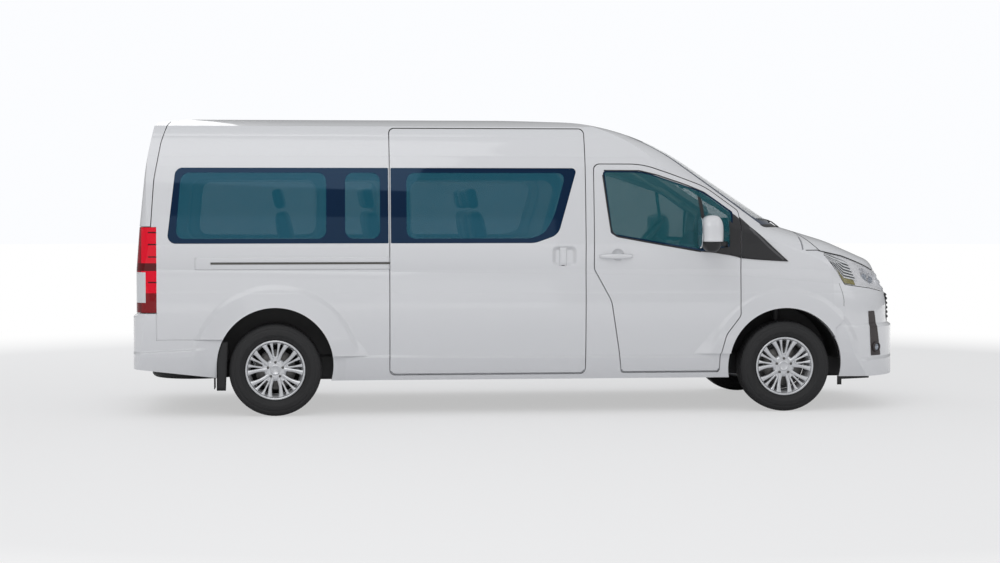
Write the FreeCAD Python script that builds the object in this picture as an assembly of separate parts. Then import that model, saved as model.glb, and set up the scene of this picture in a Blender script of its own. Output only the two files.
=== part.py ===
import FreeCAD, Part
import math
import os

V = FreeCAD.Vector

# A long, high-roof minibus. Millimetres. X points forward, Y to the vehicle's left, Z up.
# The origin is on the ground, under the middle of the body.

# Driving dimensions
length = 5915.0
body_width = 1920.0
flare_width = 1950.0
roof_height = 2236.0
sill_height = 262.0
wheelbase = 3860.0
front_overhang = 1010.0
track = 1670.0
tyre_radius = 345.0
tyre_width = 228.0
rim_radius = 222.0

# Panels, walls and gaps
wall = 60.0
roof_wall = 40.0
bonnet_wall = 24.0
bumper_wall = 28.0
glass_thickness = 5.0
glass_bed = 0.3
shut_gap = 7.0
door_lap = 24.0
door_hem = 14.0
door_step = 8.0
hinge_relief = 20.0
frame_depth = 36.0
fit_gap = 0.3

# Places along the vehicle
front_axle_x = length / 2 - front_overhang
rear_axle_x = front_axle_x - wheelbase
half_length = length / 2
half_body = body_width / 2
half_track = track / 2

# Wheel arches
front_arch_radius = 437.0
rear_arch_radius = 432.0
rear_arch_height = 380.0
flare_reach = 190.0
liner_wall = 4.0
front_liner_inner_y = 515.0
rear_liner_inner_y = 650.0

# Floor and rails
floor_top = 560.0
floor_thickness = 40.0
rail_height = 110.0
rail_width = 90.0
rail_y = 440.0

# Steering
kingpin_y = half_track - 62.0

everything = 9000.0


def box(x0, x1, y0, y1, z0, z1):
    """A block between two corners."""
    return Part.makeBox(x1 - x0, y1 - y0, z1 - z0, V(x0, y0, z0))


def cylinder_between(start, end, radius):
    """A round bar from one point to another."""
    a = V(*start)
    b = V(*end)
    return Part.makeCylinder(radius, (b - a).Length, a, b - a)


def mirrored(shape):
    """The same piece on the other side of the vehicle."""
    return shape.mirror(V(0, 0, 0), V(0, 1, 0))


def both(shape):
    """A piece and its mirror image, as separate solids."""
    return solids_of([shape, mirrored(shape)])


def solids_of(shapes):
    """One compound of all the solids in the shapes given."""
    found = []
    for shape in shapes:
        found.extend(shape.Solids)
    return Part.makeCompound(found)


def corner_edges(corners, point, closed):
    """Lines and tangent arcs along corners of (a, b, radius); point turns (a, b) into a vector."""
    places = [point(a, b) for a, b, radius in corners]
    radii = [radius for a, b, radius in corners]
    count = len(places)
    turns = range(count) if closed else range(1, count - 1)
    arcs = {}
    for i in turns:
        here = places[i]
        back = places[i - 1] - here
        ahead = places[(i + 1) % count] - here
        angle = back.getAngle(ahead)
        if radii[i] <= 0 or math.pi - angle < 1e-4:
            arcs[i] = (here, None, here)
            continue
        back.normalize()
        ahead.normalize()
        reach = radii[i] / math.tan(angle / 2)
        centre = here + (back + ahead).normalize() * (radii[i] / math.sin(angle / 2))
        middle = centre + (here - centre).normalize() * radii[i]
        arcs[i] = (here + back * reach, middle, here + ahead * reach)
    if not closed:
        arcs[0] = (places[0], None, places[0])
        arcs[count - 1] = (places[-1], None, places[-1])
    edges = []
    for i in range(count):
        enter, middle, leave = arcs[i]
        if middle is not None:
            edges.append(Part.Arc(enter, middle, leave).toShape())
        if i == count - 1 and not closed:
            break
        following = arcs[(i + 1) % count][0]
        if (following - leave).Length > 1e-4:
            edges.append(Part.LineSegment(leave, following).toShape())
    return edges


def side_outline(corners, y0, y1):
    """A solid whose side view has the corners (x, z, radius), from y0 to y1."""
    wire = Part.Wire(corner_edges(corners, lambda x, z: V(x, y0, z), True))
    return Part.Face(wire).extrude(V(0, y1 - y0, 0))


def front_outline(corners, x0, x1):
    """A solid whose front view has the corners (y, z, radius), from x0 to x1."""
    wire = Part.Wire(corner_edges(corners, lambda y, z: V(x0, y, z), True))
    return Part.Face(wire).extrude(V(x1 - x0, 0, 0))


def plan_outline(corners, z0, z1):
    """A solid whose plan view has the corners (x, y, radius), from z0 to z1."""
    wire = Part.Wire(corner_edges(corners, lambda x, y: V(x, y, z0), True))
    return Part.Face(wire).extrude(V(0, 0, z1 - z0))


# The body's form: a cross-section carried along the vehicle, closed at the front and the rear by
# bowed faces. Every panel is a part of the wall between two such forms.

# Columns: distance in from the widest point, height, bulge of the arc up to the next row
side_section = (
    (60.0, sill_height, 4.0),
    (16.0, 448.0, 3.0),
    (0.0, 800.0, 1.0),
    (2.0, 925.0, 0.0),
    (11.0, 1088.0, 0.0),
    (4.0, 1280.0, 6.5),
    (69.4, 1862.0, 1.0),
    (92.0, 1942.0, 2.0),
    (148.0, 2090.0, 8.0),
    (218.0, 2165.0, 0.0),
)

# Columns: x, z, corner radius. The middle line of the front, from the roof down to the bumper.
front_profile = (
    (-1500.0, roof_height + 60.0, 0.0),
    (-1400.0, roof_height + 60.0, 0.0),
    (-350.0, roof_height + 3.0, 3000.0),
    (849.0, 2190.0, 1900.0),
    (2025.0, 1409.0, 60.0),
    (2420.0, 1290.0, 1200.0),
    (2775.0, 1135.0, 130.0),
    (half_length - 40.0, 860.0, 300.0),
    (half_length - 32.0, 660.0, 6.0),
    (half_length, 640.0, 8.0),
    (half_length, 150.0, 0.0),
)

# Columns as above. The middle line of the rear.
rear_profile = (
    (-1500.0, roof_height + 60.0, 0.0),
    (-1900.0, roof_height + 60.0, 0.0),
    (-2480.0, roof_height + 2.0, 1500.0),
    (-2795.0, roof_height - 44.0, 52.0),
    (-2861.0, 1866.0, 2500.0),
    (-2908.0, 1413.0, 1500.0),
    (-2934.0, 1080.0, 1200.0),
    (-2934.0, 768.0, 8.0),
    (-half_length, 752.0, 14.0),
    (-half_length, 330.0, 60.0),
    (-2900.0, 150.0, 0.0),
)

front_bow_radius = 2072.0
front_bow_half = 550.0
rear_corner_radius = 112.0


def front_bow():
    """Columns: y, how far the front lies behind its middle there. A wide arc, then a corner arc."""
    turn = math.asin(front_bow_half / front_bow_radius)
    corner_radius = (half_body - front_bow_half) / (1.0 - math.sin(turn))
    start = front_bow_radius * (1.0 - math.cos(turn))
    rows = []
    for part in (0.0, 0.33, 0.66, 1.0):
        angle = turn * part
        rows.append((front_bow_radius * math.sin(angle), front_bow_radius * (1.0 - math.cos(angle))))
    for part in (0.17, 0.34, 0.51, 0.68, 0.84, 0.95):
        angle = turn + (math.pi / 2 - turn) * part
        y = front_bow_half + corner_radius * (math.sin(angle) - math.sin(turn))
        rows.append((y, start + corner_radius * (math.cos(turn) - math.cos(angle))))
    rows.append((half_body + 3.0, start + corner_radius * math.cos(turn)))
    return [(-y, setback) for y, setback in reversed(rows[1:])] + rows


def rear_corner():
    """Columns: y, how far the rear lies ahead of its middle there, around one corner."""
    rows = []
    for part in (0.0, 0.2, 0.4, 0.6, 0.8, 0.96):
        angle = math.pi / 2 * part
        y = half_body - rear_corner_radius * (1.0 - math.sin(angle))
        rows.append((y, rear_corner_radius * (1.0 - math.cos(angle))))
    rows.append((half_body + 3.0, rear_corner_radius))
    return rows


def moved_corners(corners, inset):
    """The corners of a profile, each moved by inset square to the lines that meet there."""
    moved = []
    for i, (a, b, radius) in enumerate(corners):
        before = corners[max(i - 1, 0)]
        after = corners[min(i + 1, len(corners) - 1)]
        if i == 0:
            before = corners[0]
            after = corners[1]
        first = V(a - before[0], b - before[1], 0)
        second = V(after[0] - a, after[1] - b, 0)
        if first.Length < 1e-6:
            first = second
        if second.Length < 1e-6:
            second = first
        normal_one = V(first.y, -first.x, 0).normalize()
        normal_two = V(second.y, -second.x, 0).normalize()
        mean = normal_one + normal_two
        shift = mean * (inset * 2.0 / mean.dot(mean))
        moved.append((a + shift.x, b + shift.y, radius))
    return moved


def end_form(line, inset, sign, stations):
    """The closed end of the body: its middle line, repeated at each station of y and setback."""
    far = -sign * everything
    scale = (half_body - inset) / half_body
    wires = []
    for y, setback in stations:
        edges = corner_edges(line, lambda a, b: V(a - sign * setback, y * scale, b), False)
        top = edges[0].Vertexes[0].Point
        bottom = edges[-1].Vertexes[-1].Point
        back_top = V(far, y * scale, top.z)
        back_bottom = V(far, y * scale, bottom.z)
        edges.append(Part.LineSegment(bottom, back_bottom).toShape())
        edges.append(Part.LineSegment(back_bottom, back_top).toShape())
        edges.append(Part.LineSegment(back_top, top).toShape())
        wires.append(Part.Wire(edges))
    return Part.makeLoft(wires, True, len(stations) == 2)


def front_form(inset):
    """Everything behind the bowed front."""
    return end_form(moved_corners(front_profile, inset), inset, 1, front_bow())


def rear_form(inset):
    """Everything ahead of the flat rear and its two round corners."""
    line = moved_corners(rear_profile, -inset)
    corner = rear_corner()
    start = corner[0][0]
    middle = end_form(line, inset, -1, [(-start, 0.0), (start, 0.0)])
    left = end_form(line, inset, -1, corner)
    return middle.fuse([left, mirrored(left)]).removeSplitter()


def section_form(inset, bottom_drop):
    """The cross-section at an inset, carried along the whole vehicle."""
    points = []
    for step, z, bulge in side_section:
        points.append((half_body - step, z, bulge))
    flat = moved_corners([(y, z, 0.0) for y, z, bulge in points], -inset)
    right = [V(-everything / 2, y, z) for y, z, radius in flat]
    if bottom_drop > 0:
        right[0] = V(right[0].x, right[0].y, sill_height - bottom_drop)
    else:
        right[0] = V(right[0].x, right[0].y, sill_height)
    edges = []
    for i in range(len(right) - 1):
        a = right[i]
        b = right[i + 1]
        bulge = points[i][2]
        if bulge == 0.0:
            edges.append(Part.LineSegment(a, b).toShape())
            continue
        run = b - a
        outward = V(0, run.z, -run.y).normalize()
        edges.append(Part.Arc(a, (a + b) * 0.5 + outward * bulge, b).toShape())
    left = [edge.mirror(V(0, 0, 0), V(0, 1, 0)) for edge in edges]
    top = right[-1]
    crown = V(top.x, 0, roof_height - inset)
    roof = Part.Arc(top, crown, V(top.x, -top.y, top.z)).toShape()
    foot = right[0]
    floor = Part.LineSegment(V(foot.x, -foot.y, foot.z), foot).toShape()
    wire = Part.Wire(Part.__sortEdges__(edges + [roof] + left + [floor]))
    return Part.Face(wire).extrude(V(everything, 0, 0))


forms = {}


def body_form(inset):
    """The whole body as one solid, with every face moved inwards by inset."""
    if inset not in forms:
        drop = 0.0 if inset == 0 else 200.0
        form = section_form(inset, drop)
        front = front_form(inset)
        rear = rear_form(inset)
        forms[inset] = form.common(front).common(rear)
    return forms[inset]


def grown(corners, amount):
    """A closed outline with every side moved outwards; its corners go clockwise from the top left."""
    count = len(corners)
    result = []
    for i, (a, b, radius) in enumerate(corners):
        before = corners[i - 1]
        after = corners[(i + 1) % count]
        first = V(a - before[0], b - before[1], 0)
        second = V(after[0] - a, after[1] - b, 0)
        normal_one = V(-first.y, first.x, 0).normalize()
        normal_two = V(-second.y, second.x, 0).normalize()
        mean = normal_one + normal_two
        shift = mean * (amount * 2.0 / mean.dot(mean))
        rounded = max(radius + amount * 0.5, 3.0) if radius > 0 else 0.0
        result.append((a + shift.x, b + shift.y, rounded))
    return result


# Outlines in side view. Columns: x, z, corner radius, clockwise from the top left.
sliding_door_outline = (
    (-1061.0, 2150.0, 40.0),
    (415.0, 2150.0, 40.0),
    (415.0, 300.0, 40.0),
    (-1061.0, 300.0, 40.0),
)
front_door_outline = (
    (478.0, 1882.0, 45.0),
    (850.0, 1882.0, 600.0),
    (1350.0, 1712.0, 500.0),
    (1600.0, 1530.0, 40.0),
    (1600.0, 735.0, 60.0),
    (1490.0, 590.0, 150.0),
    (1444.0, 430.0, 200.0),
    (1444.0, 305.0, 20.0),
    (690.0, 305.0, 20.0),
    (668.0, 480.0, 300.0),
    (610.0, 850.0, 200.0),
    (478.0, 1090.0, 80.0),
)
front_glass_outline = (
    (546.0, 1832.0, 25.0),
    (846.0, 1830.0, 560.0),
    (1330.0, 1668.0, 460.0),
    (1536.0, 1520.0, 20.0),
    (1536.0, 1262.0, 20.0),
    (1292.0, 1222.0, 200.0),
    (650.0, 1332.0, 40.0),
    (603.0, 1362.0, 20.0),
)
front_pane_outline = (
    (560.0, 1820.0, 20.0),
    (846.0, 1818.0, 540.0),
    (1322.0, 1659.0, 450.0),
    (1524.0, 1514.0, 15.0),
    (1524.0, 1282.0, 15.0),
    (1292.0, 1240.0, 200.0),
    (655.0, 1346.0, 35.0),
    (617.0, 1370.0, 15.0),
)
slider_glass_outline = (
    (-1052.0, 1850.0, 8.0),
    (352.0, 1850.0, 30.0),
    (205.0, 1350.0, 110.0),
    (30.0, 1288.0, 200.0),
    (-1052.0, 1288.0, 8.0),
)
slider_pane_outline = (
    (-934.0, 1813.0, 45.0),
    (268.0, 1813.0, 45.0),
    (140.0, 1400.0, 160.0),
    (0.0, 1323.0, 160.0),
    (-934.0, 1323.0, 45.0),
)
rear_glass_outline = (
    (-2640.0, 1850.0, 60.0),
    (-1070.0, 1850.0, 8.0),
    (-1070.0, 1288.0, 8.0),
    (-2705.0, 1288.0, 60.0),
)
rear_pane_outline = (
    (-2600.0, 1813.0, 70.0),
    (-1532.0, 1813.0, 25.0),
    (-1532.0, 1323.0, 25.0),
    (-2640.0, 1323.0, 70.0),
)
small_pane_outline = (
    (-1391.0, 1813.0, 25.0),
    (-1132.0, 1813.0, 25.0),
    (-1132.0, 1323.0, 25.0),
    (-1391.0, 1323.0, 25.0),
)
tailgate_seam = (
    (-4000.0, 2900.0, 0.0),
    (-2690.0, 2900.0, 0.0),
    (-2690.0, 2210.0, 0.0),
    (-2745.0, 2040.0, 400.0),
    (-2795.0, 1760.0, 600.0),
    (-2818.0, 1412.0, 0.0),
    (-4000.0, 1412.0, 0.0),
)
portal_lap = 34.0
headlamp_outline = (
    (2226.0, 1219.0, 15.0),
    (2412.0, 1180.0, 300.0),
    (2606.0, 1104.0, 300.0),
    (2700.0, 1062.0, 20.0),
    (2990.0, 1000.0, 0.0),
    (2990.0, 895.0, 0.0),
    (2760.0, 902.0, 0.0),
    (2627.0, 932.0, 200.0),
    (2407.0, 964.0, 15.0),
    (2322.0, 1095.0, 200.0),
)
bonnet_outline = (
    (1700.0, 1700.0, 0.0),
    (3100.0, 1700.0, 0.0),
    (3100.0, 1066.0, 0.0),
    (2710.0, 1066.0, 0.0),
    (2606.0, 1110.0, 300.0),
    (2412.0, 1186.0, 300.0),
    (2226.0, 1226.0, 30.0),
    (2080.0, 1372.0, 0.0),
    (2080.0, 1240.0, 0.0),
    (1700.0, 1240.0, 0.0),
)
front_bumper_outline = (
    (2382.0, 961.0, 0.0),
    (2627.0, 928.0, 0.0),
    (2760.0, 899.0, 0.0),
    (3100.0, 890.0, 0.0),
    (3100.0, 100.0, 0.0),
    (2330.0, 100.0, 0.0),
    (2330.0, 640.0, 0.0),
    (2396.0, 690.0, 60.0),
    (2412.0, 800.0, 150.0),
)
lamp_inner_y = 560.0
tail_lamp_x = -2780.0
tail_lamp_top = 1409.0
tail_lamp_bottom = 780.0
tailgate_half = 790.0
tailgate_seam_foot = 1412.0
rear_bumper_top = 772.0
rear_bumper_low_top = 575.0
rear_bumper_front = -2300.0
rear_bumper_foot = ((-2200.0, 272.0), (-3200.0, 388.0))
roof_seam = 2158.0
windscreen_foot = 2003.0
bonnet_rear = 2050.0

# The windscreen in front view. Columns: y, z, corner radius, clockwise from the top left.
windscreen_outline = (
    (-672.0, 2105.0, 60.0),
    (672.0, 2105.0, 60.0),
    (815.0, 1330.0, 40.0),
    (-815.0, 1330.0, 40.0),
)
tailgate_glass_outline = (
    (-660.0, 1940.0, 60.0),
    (660.0, 1940.0, 60.0),
    (740.0, 1470.0, 60.0),
    (-740.0, 1470.0, 60.0),
)


def behind_bow(x_middle, z0, z1):
    """Everything behind a line bowed like the front, whose middle is at x_middle."""
    turn = math.asin(front_bow_half / front_bow_radius)
    corner_radius = (half_body - front_bow_half) / (1.0 - math.sin(turn))
    start = front_bow_radius * (1.0 - math.cos(turn))
    sweep = (math.pi / 2 + turn) / 2
    half_y = front_bow_half + corner_radius * (math.sin(sweep) - math.sin(turn))
    half_x = start + corner_radius * (math.cos(turn) - math.cos(sweep))
    end_x = start + corner_radius * math.cos(turn)

    def place(setback, y):
        return V(x_middle - setback, y, z0)

    edges = [
        Part.Arc(place(end_x, -half_body), place(half_x, -half_y), place(start, -front_bow_half)).toShape(),
        Part.Arc(place(start, -front_bow_half), place(0.0, 0.0), place(start, front_bow_half)).toShape(),
        Part.Arc(place(start, front_bow_half), place(half_x, half_y), place(end_x, half_body)).toShape(),
        Part.LineSegment(place(end_x, half_body), place(end_x, 2000.0)).toShape(),
        Part.LineSegment(place(end_x, 2000.0), place(end_x + 4000.0, 2000.0)).toShape(),
        Part.LineSegment(place(end_x + 4000.0, 2000.0), place(end_x + 4000.0, -2000.0)).toShape(),
        Part.LineSegment(place(end_x + 4000.0, -2000.0), place(end_x, -2000.0)).toShape(),
        Part.LineSegment(place(end_x, -2000.0), place(end_x, -half_body)).toShape(),
    ]
    return Part.Face(Part.Wire(edges)).extrude(V(0, 0, z1 - z0))


def shell(depth, start=0.0):
    """The wall between the form at start and the form at depth."""
    key = ("shell", depth, start)
    if key not in forms:
        forms[key] = body_form(start).cut(body_form(depth))
    return forms[key]


def arch_cylinder(side, x, z, radius, inner_y):
    """The space around one wheel; side is -1 on the right and 1 on the left."""
    outer_y = half_body + 200.0
    start = (x, side * inner_y, z)
    return cylinder_between(start, (x, side * outer_y, z), radius)


def arch_spaces(clearance):
    """The four wheel spaces, each a little larger by the clearance."""
    spaces = []
    for side in (-1, 1):
        spaces.append(arch_cylinder(side, front_axle_x, tyre_radius + 10.0, front_arch_radius + clearance,
                                    front_liner_inner_y - clearance))
        spaces.append(arch_cylinder(side, rear_axle_x, rear_arch_height, rear_arch_radius + clearance,
                                    rear_liner_inner_y - clearance))
    return spaces


def flare(side, x, z, radius):
    """The soft ring that lifts the panel around one wheel, down to the low step in the side."""
    rise = (flare_width - body_width) / 2
    root = 20.0
    narrow = radius + 12.0
    wide = narrow + (flare_reach - 12.0) * (rise + root) / (rise + 6.0)
    cone = Part.makeCone(wide, narrow, rise + root, V(x, side * (half_body - root), z), V(0, side, 0))
    return cone.cut(box(x - wide, x + wide, -1200, 1200, -500, side_section[1][1]))


def right_wall():
    """The outer wall of the right side, with its flares, up to the roof."""
    if "right_wall" not in forms:
        half = box(-3000.0, 3000.0, -1200.0, 0.0, 0.0, roof_seam)
        rings = [
            flare(-1, front_axle_x, tyre_radius + 10.0, front_arch_radius),
            flare(-1, rear_axle_x, rear_arch_height, rear_arch_radius),
        ]
        rings = [ring.cut(body_form(wall)) for ring in rings]
        forms["right_wall"] = shell(wall).common(half).fuse(rings).cut(arch_spaces(0.0))
    return forms["right_wall"]


def pane_openings(outlines, side):
    """The clear window openings, cut right through a wall."""
    y0 = 500.0 if side == 1 else -1200.0
    return [side_outline(outline, y0, y0 + 700.0) for outline in outlines]


def glass_plate(outline, side, clearance=0.0):
    """A window plate lying flush in the outer face of the wall."""
    y0 = 500.0 if side == 1 else -1200.0
    depth = glass_thickness + clearance
    layer = section_form(0.0, 0.0).cut(section_form(depth, 200.0))
    return layer.common(side_outline(grown(outline, clearance), y0, y0 + 700.0))


def side_frame(outline):
    """The frame behind the edge of a right-hand door, which the door closes against. Above the front
    door's hinges it stands back, where the slanting inner face of the door swings rearwards."""
    key = ("frame", outline)
    if key not in forms:
        ring = side_outline(grown(outline, portal_lap), -1200.0, -500.0)
        ring = ring.cut(side_outline(grown(outline, -door_lap), -1201.0, -499.0))
        ring = ring.common(box(-3000.0, 3000.0, -1200.0, 0.0, 0.0, roof_seam - fit_gap))
        layer = shell(wall + fit_gap + frame_depth, wall - 2.0)
        mouth = side_outline(grown(outline, shut_gap / 2), -1201.0, -499.0)
        edge = mouth.common(box(1550.0, 1700.0, -1200.0, 0.0, 1150.0, 1620.0))
        room = [mouth.cut(body_form(wall + fit_gap)), edge.cut(body_form(wall + hinge_relief))]
        forms[key] = layer.common(ring).cut(room)
    return forms[key]


def save(name, shape):
    """Write one node."""
    shape.exportStep("parts/" + name + ".step")
    extent = shape.BoundBox
    print("%-20s %2d solids, valid %s, %.4f m3, x %.0f to %.0f, y %.0f to %.0f, z %.0f to %.0f" % (
        name, len(shape.Solids), shape.isValid(), shape.Volume / 1e9, extent.XMin, extent.XMax,
        extent.YMin, extent.YMax, extent.ZMin, extent.ZMax))


# Where the body's wall is divided into panels
tailgate_region = side_outline(tailgate_seam, -1200.0, 1200.0)
lamp_band = box(-4000.0, tail_lamp_x, -1200.0, 1200.0, rear_bumper_top, tailgate_seam_foot)
tail_lamp_region = both(box(-4000.0, tail_lamp_x, -1200.0, -tailgate_half - shut_gap,
                            tail_lamp_bottom, tail_lamp_top))
rear_bumper_region = box(-4000.0, -2781.0, -1200.0, 1200.0, 100.0, rear_bumper_top).fuse(
    box(-4000.0, rear_bumper_front, -1200.0, 1200.0, 100.0, rear_bumper_low_top)).removeSplitter()
screen_region = front_outline(windscreen_outline, 700.0, 3000.0)
screen_region = screen_region.common(behind_bow(windscreen_foot, 1000.0, 2400.0))
header_region = box(600.0, 1600.0, -680.0, 680.0, 2050.0, 2300.0)
pillar_line = (
    (1300.0, 1960.0, 0.0),
    (2063.0, 1960.0, 0.0),
    (1698.0, 1360.0, 0.0),
    (1300.0, 1360.0, 0.0),
)
pillar_region = side_outline(pillar_line, -1200.0, 1200.0)
wing_rear = 1590.0
wing_foot_rear = 1447.5
wing_foot_top = 740.0
nose_region = box(wing_rear, 3100.0, -1200.0, 1200.0, 100.0, 1960.0).fuse(
    box(wing_foot_rear, wing_rear, -1200.0, 1200.0, 100.0, wing_foot_top)).cut(pillar_region)
bonnet_region = side_outline(bonnet_outline, -1000.0, 1000.0).cut(behind_bow(bonnet_rear, 900.0, 2400.0))
bonnet_side_x = 2080.0
bonnet_half = 800.0
bonnet_region = bonnet_region.cut(both(box(1600.0, bonnet_side_x, -1200.0, -bonnet_half, 1000.0, 2000.0)))
headlamp_region = both(side_outline(headlamp_outline, -1100.0, -lamp_inner_y))
bumper_region = side_outline(front_bumper_outline, -1100.0, 1100.0)
grille_region = box(2500.0, 3100.0, -lamp_inner_y + 4.0, lamp_inner_y - 4.0, 884.0, 1060.0)


def door_mouth(outline, amount):
    """The space of a door in the right wall, its outline moved outwards by amount."""
    return side_outline(grown(outline, amount), -1200.0, -500.0)


def make_side(left):
    """One whole side wall: pillars, sill and the panel behind the doors. The left has no sliding door."""
    cuts = [door_mouth(front_door_outline, shut_gap / 2)]
    frames = [side_frame(front_door_outline)]
    panes = [rear_pane_outline, small_pane_outline]
    plates = [rear_glass_outline]
    if left:
        panes.append(slider_pane_outline)
        plates.append(slider_glass_outline)
    else:
        cuts.append(door_mouth(sliding_door_outline, shut_gap / 2))
        frames.append(side_frame(sliding_door_outline))
    cuts += [tailgate_region, lamp_band, rear_bumper_region, screen_region, header_region, nose_region]
    panel = right_wall().cut(cuts).fuse(frames)
    beds = [glass_plate(outline, -1, glass_bed) for outline in plates]
    panel = panel.cut(pane_openings(panes, -1) + beds).removeSplitter()
    return mirrored(panel) if left else panel


def make_door(outline, pane, plate):
    """A right-hand door as thick as the wall, with its window opening and the bed of its glass. Behind
    the hem of its skin it is smaller all round, so that its inner edge clears the pillar as it swings."""
    door = right_wall().common(door_mouth(outline, -shut_gap / 2))
    edge = body_form(door_hem).cut(door_mouth(outline, -shut_gap / 2 - door_step))
    pillar_gap = front_outline(grown(windscreen_outline, shut_gap), 700.0, 3000.0)
    bed = glass_plate(plate, -1, glass_bed)
    return door.cut(pane_openings([pane], -1) + [bed, edge, pillar_gap]).removeSplitter()


def make_roof():
    """The roof skin, from the tailgate to the edge of the windscreen."""
    top = box(-3000.0, 3000.0, -1200.0, 1200.0, roof_seam, 2400.0)
    return shell(roof_wall).common(top.fuse(header_region)).cut([tailgate_region, screen_region])


def make_tailgate():
    """The tailgate: full width above the lamps, between them below."""
    seam = [(a - shut_gap, b, radius) for a, b, radius in tailgate_seam]
    upper = side_outline(seam, -1200.0, 1200.0).common(
        box(-4000.0, -2000.0, -1200.0, 1200.0, tail_lamp_top + shut_gap, 3000.0))
    lower = box(-4000.0, tail_lamp_x, -tailgate_half, tailgate_half,
                rear_bumper_top + shut_gap, tail_lamp_top + 60.0)
    gate = shell(wall).common(upper.fuse(lower).removeSplitter())
    pane = front_outline(grown(tailgate_glass_outline, -28.0), -4000.0, -2000.0)
    bed = shell(glass_thickness + glass_bed).common(
        front_outline(grown(tailgate_glass_outline, glass_bed), -4000.0, -2000.0))
    return gate.cut([pane, bed])


def make_tailgate_glass():
    """The tailgate's window, flush in its outer face."""
    return shell(glass_thickness).common(front_outline(tailgate_glass_outline, -4000.0, -2000.0))


def make_rear_portal():
    """The frame behind the edge of the rear opening, which the tailgate closes against."""
    ring = side_outline(grown(tailgate_seam, portal_lap), -1200.0, 1200.0)
    ring = ring.cut(side_outline(grown(tailgate_seam, -door_lap), -1201.0, 1201.0))
    posts = box(-4000.0, tail_lamp_x + portal_lap, -1200.0, 1200.0,
                rear_bumper_top - portal_lap, tailgate_seam_foot + door_lap)
    middle = tailgate_half - door_lap
    opening = box(-4000.0, -2000.0, -middle, middle,
                  rear_bumper_top + door_lap, tailgate_seam_foot + 3 * door_lap)
    layer = shell(wall + fit_gap + frame_depth, wall + fit_gap)
    return layer.common(ring.fuse(posts)).cut(opening).removeSplitter()


def make_windscreen():
    """The windscreen, bowed like the front."""
    region = front_outline(grown(windscreen_outline, -glass_bed), 700.0, 3000.0)
    region = region.common(behind_bow(windscreen_foot - glass_bed, 1000.0, 2400.0))
    return body_form(0.0).cut(front_form(glass_thickness)).common(region)


def make_screen_frame():
    """The flange behind the edge of the windscreen."""
    opening = front_outline(grown(windscreen_outline, -40.0), 700.0, 3000.0)
    opening = opening.common(behind_bow(windscreen_foot - 70.0, 1000.0, 2400.0))
    return shell(roof_wall, glass_thickness + glass_bed).common(screen_region).cut(opening)


bonnet_ledge = 18.0


def bonnet_mouth(amount):
    """The opening that the bonnet lies in, its edges moved outwards by amount."""
    mouth = side_outline(grown(bonnet_outline, amount), -1000.0, 1000.0)
    corners = both(box(1600.0, bonnet_side_x - amount, -1200.0, -bonnet_half - amount, 1000.0, 2000.0))
    return mouth.cut([behind_bow(windscreen_foot, 900.0, 2400.0), corners])


def make_fenders():
    """The two front wings, between the doors, the bonnet, the headlamps and the bumper."""
    skin = shell(bonnet_wall + fit_gap)
    wing = right_wall().common(nose_region).cut([
        bumper_region, headlamp_region, grille_region, screen_region, bonnet_mouth(-bonnet_ledge),
        bonnet_mouth(shut_gap).common(skin), door_mouth(front_door_outline, shut_gap / 2),
        side_frame(front_door_outline)])
    return both(wing)


def make_cowl():
    """The strip between the windscreen and the bonnet."""
    strip = behind_bow(bonnet_rear - 1.5 * shut_gap, 1200.0, 2400.0)
    strip = strip.cut(behind_bow(windscreen_foot, 1100.0, 2500.0))
    return shell(bonnet_wall).common(strip.common(box(1600.0, 2200.0, -799.0, 799.0, 1240.0, 1600.0)))


def make_front_bumper():
    """The bumper skin, cut round the wheels and the grille."""
    return shell(bumper_wall).common(bumper_region).cut(arch_spaces(0.0) + [grille_region])


def make_rear_bumper():
    """The rear bumper skin, which runs along the sides to the wheels. Its foot rises to the rear."""
    (front_x, front_z), (rear_x, rear_z) = rear_bumper_foot
    below = side_outline(((front_x, 0.0, 0.0), (front_x, front_z, 0.0),
                          (rear_x, rear_z, 0.0), (rear_x, 0.0, 0.0)), -1200.0, 1200.0)
    return shell(bumper_wall).common(rear_bumper_region).cut(arch_spaces(0.0) + [below])


# Under the body

floor_bottom = floor_top - floor_thickness
rail_bottom = floor_bottom - rail_height
rail_front = 2640.0
rail_inner_y = rail_y - rail_width / 2
tow_bolt_radius = 6.5
tow_bolt_depth = 30.0
tow_bolt_x = (-2800.0, -2650.0)
crossmember_x = (-2720.0, -1250.0, -300.0, 500.0, 1200.0)


def make_floor():
    """The floor with its two long rails and the members across them."""
    slab = box(-2868.0, 1925.0, -940.0, 940.0, floor_bottom, floor_top).common(body_form(wall + fit_gap))
    front_frame = side_frame(front_door_outline)
    slab = slab.cut([front_frame, mirrored(front_frame), side_frame(sliding_door_outline)])
    rails = both(box(-2860.0, rail_front, rail_inner_y, rail_y + rail_width / 2,
                     rail_bottom, floor_bottom + 1.0))
    members = [box(x - 35.0, x + 35.0, -rail_y, rail_y, floor_bottom - 48.0, floor_bottom + 1.0)
               for x in crossmember_x]
    floor = slab.fuse(rails.Solids + members).removeSplitter()
    hole_top = rail_bottom + tow_bolt_depth
    holes = [cylinder_between((x, y, rail_bottom - 1.0), (x, y, hole_top), tow_bolt_radius)
             for x in tow_bolt_x for y in (-rail_y, rail_y)]
    return floor.cut(arch_spaces(fit_gap) + holes)


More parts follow.
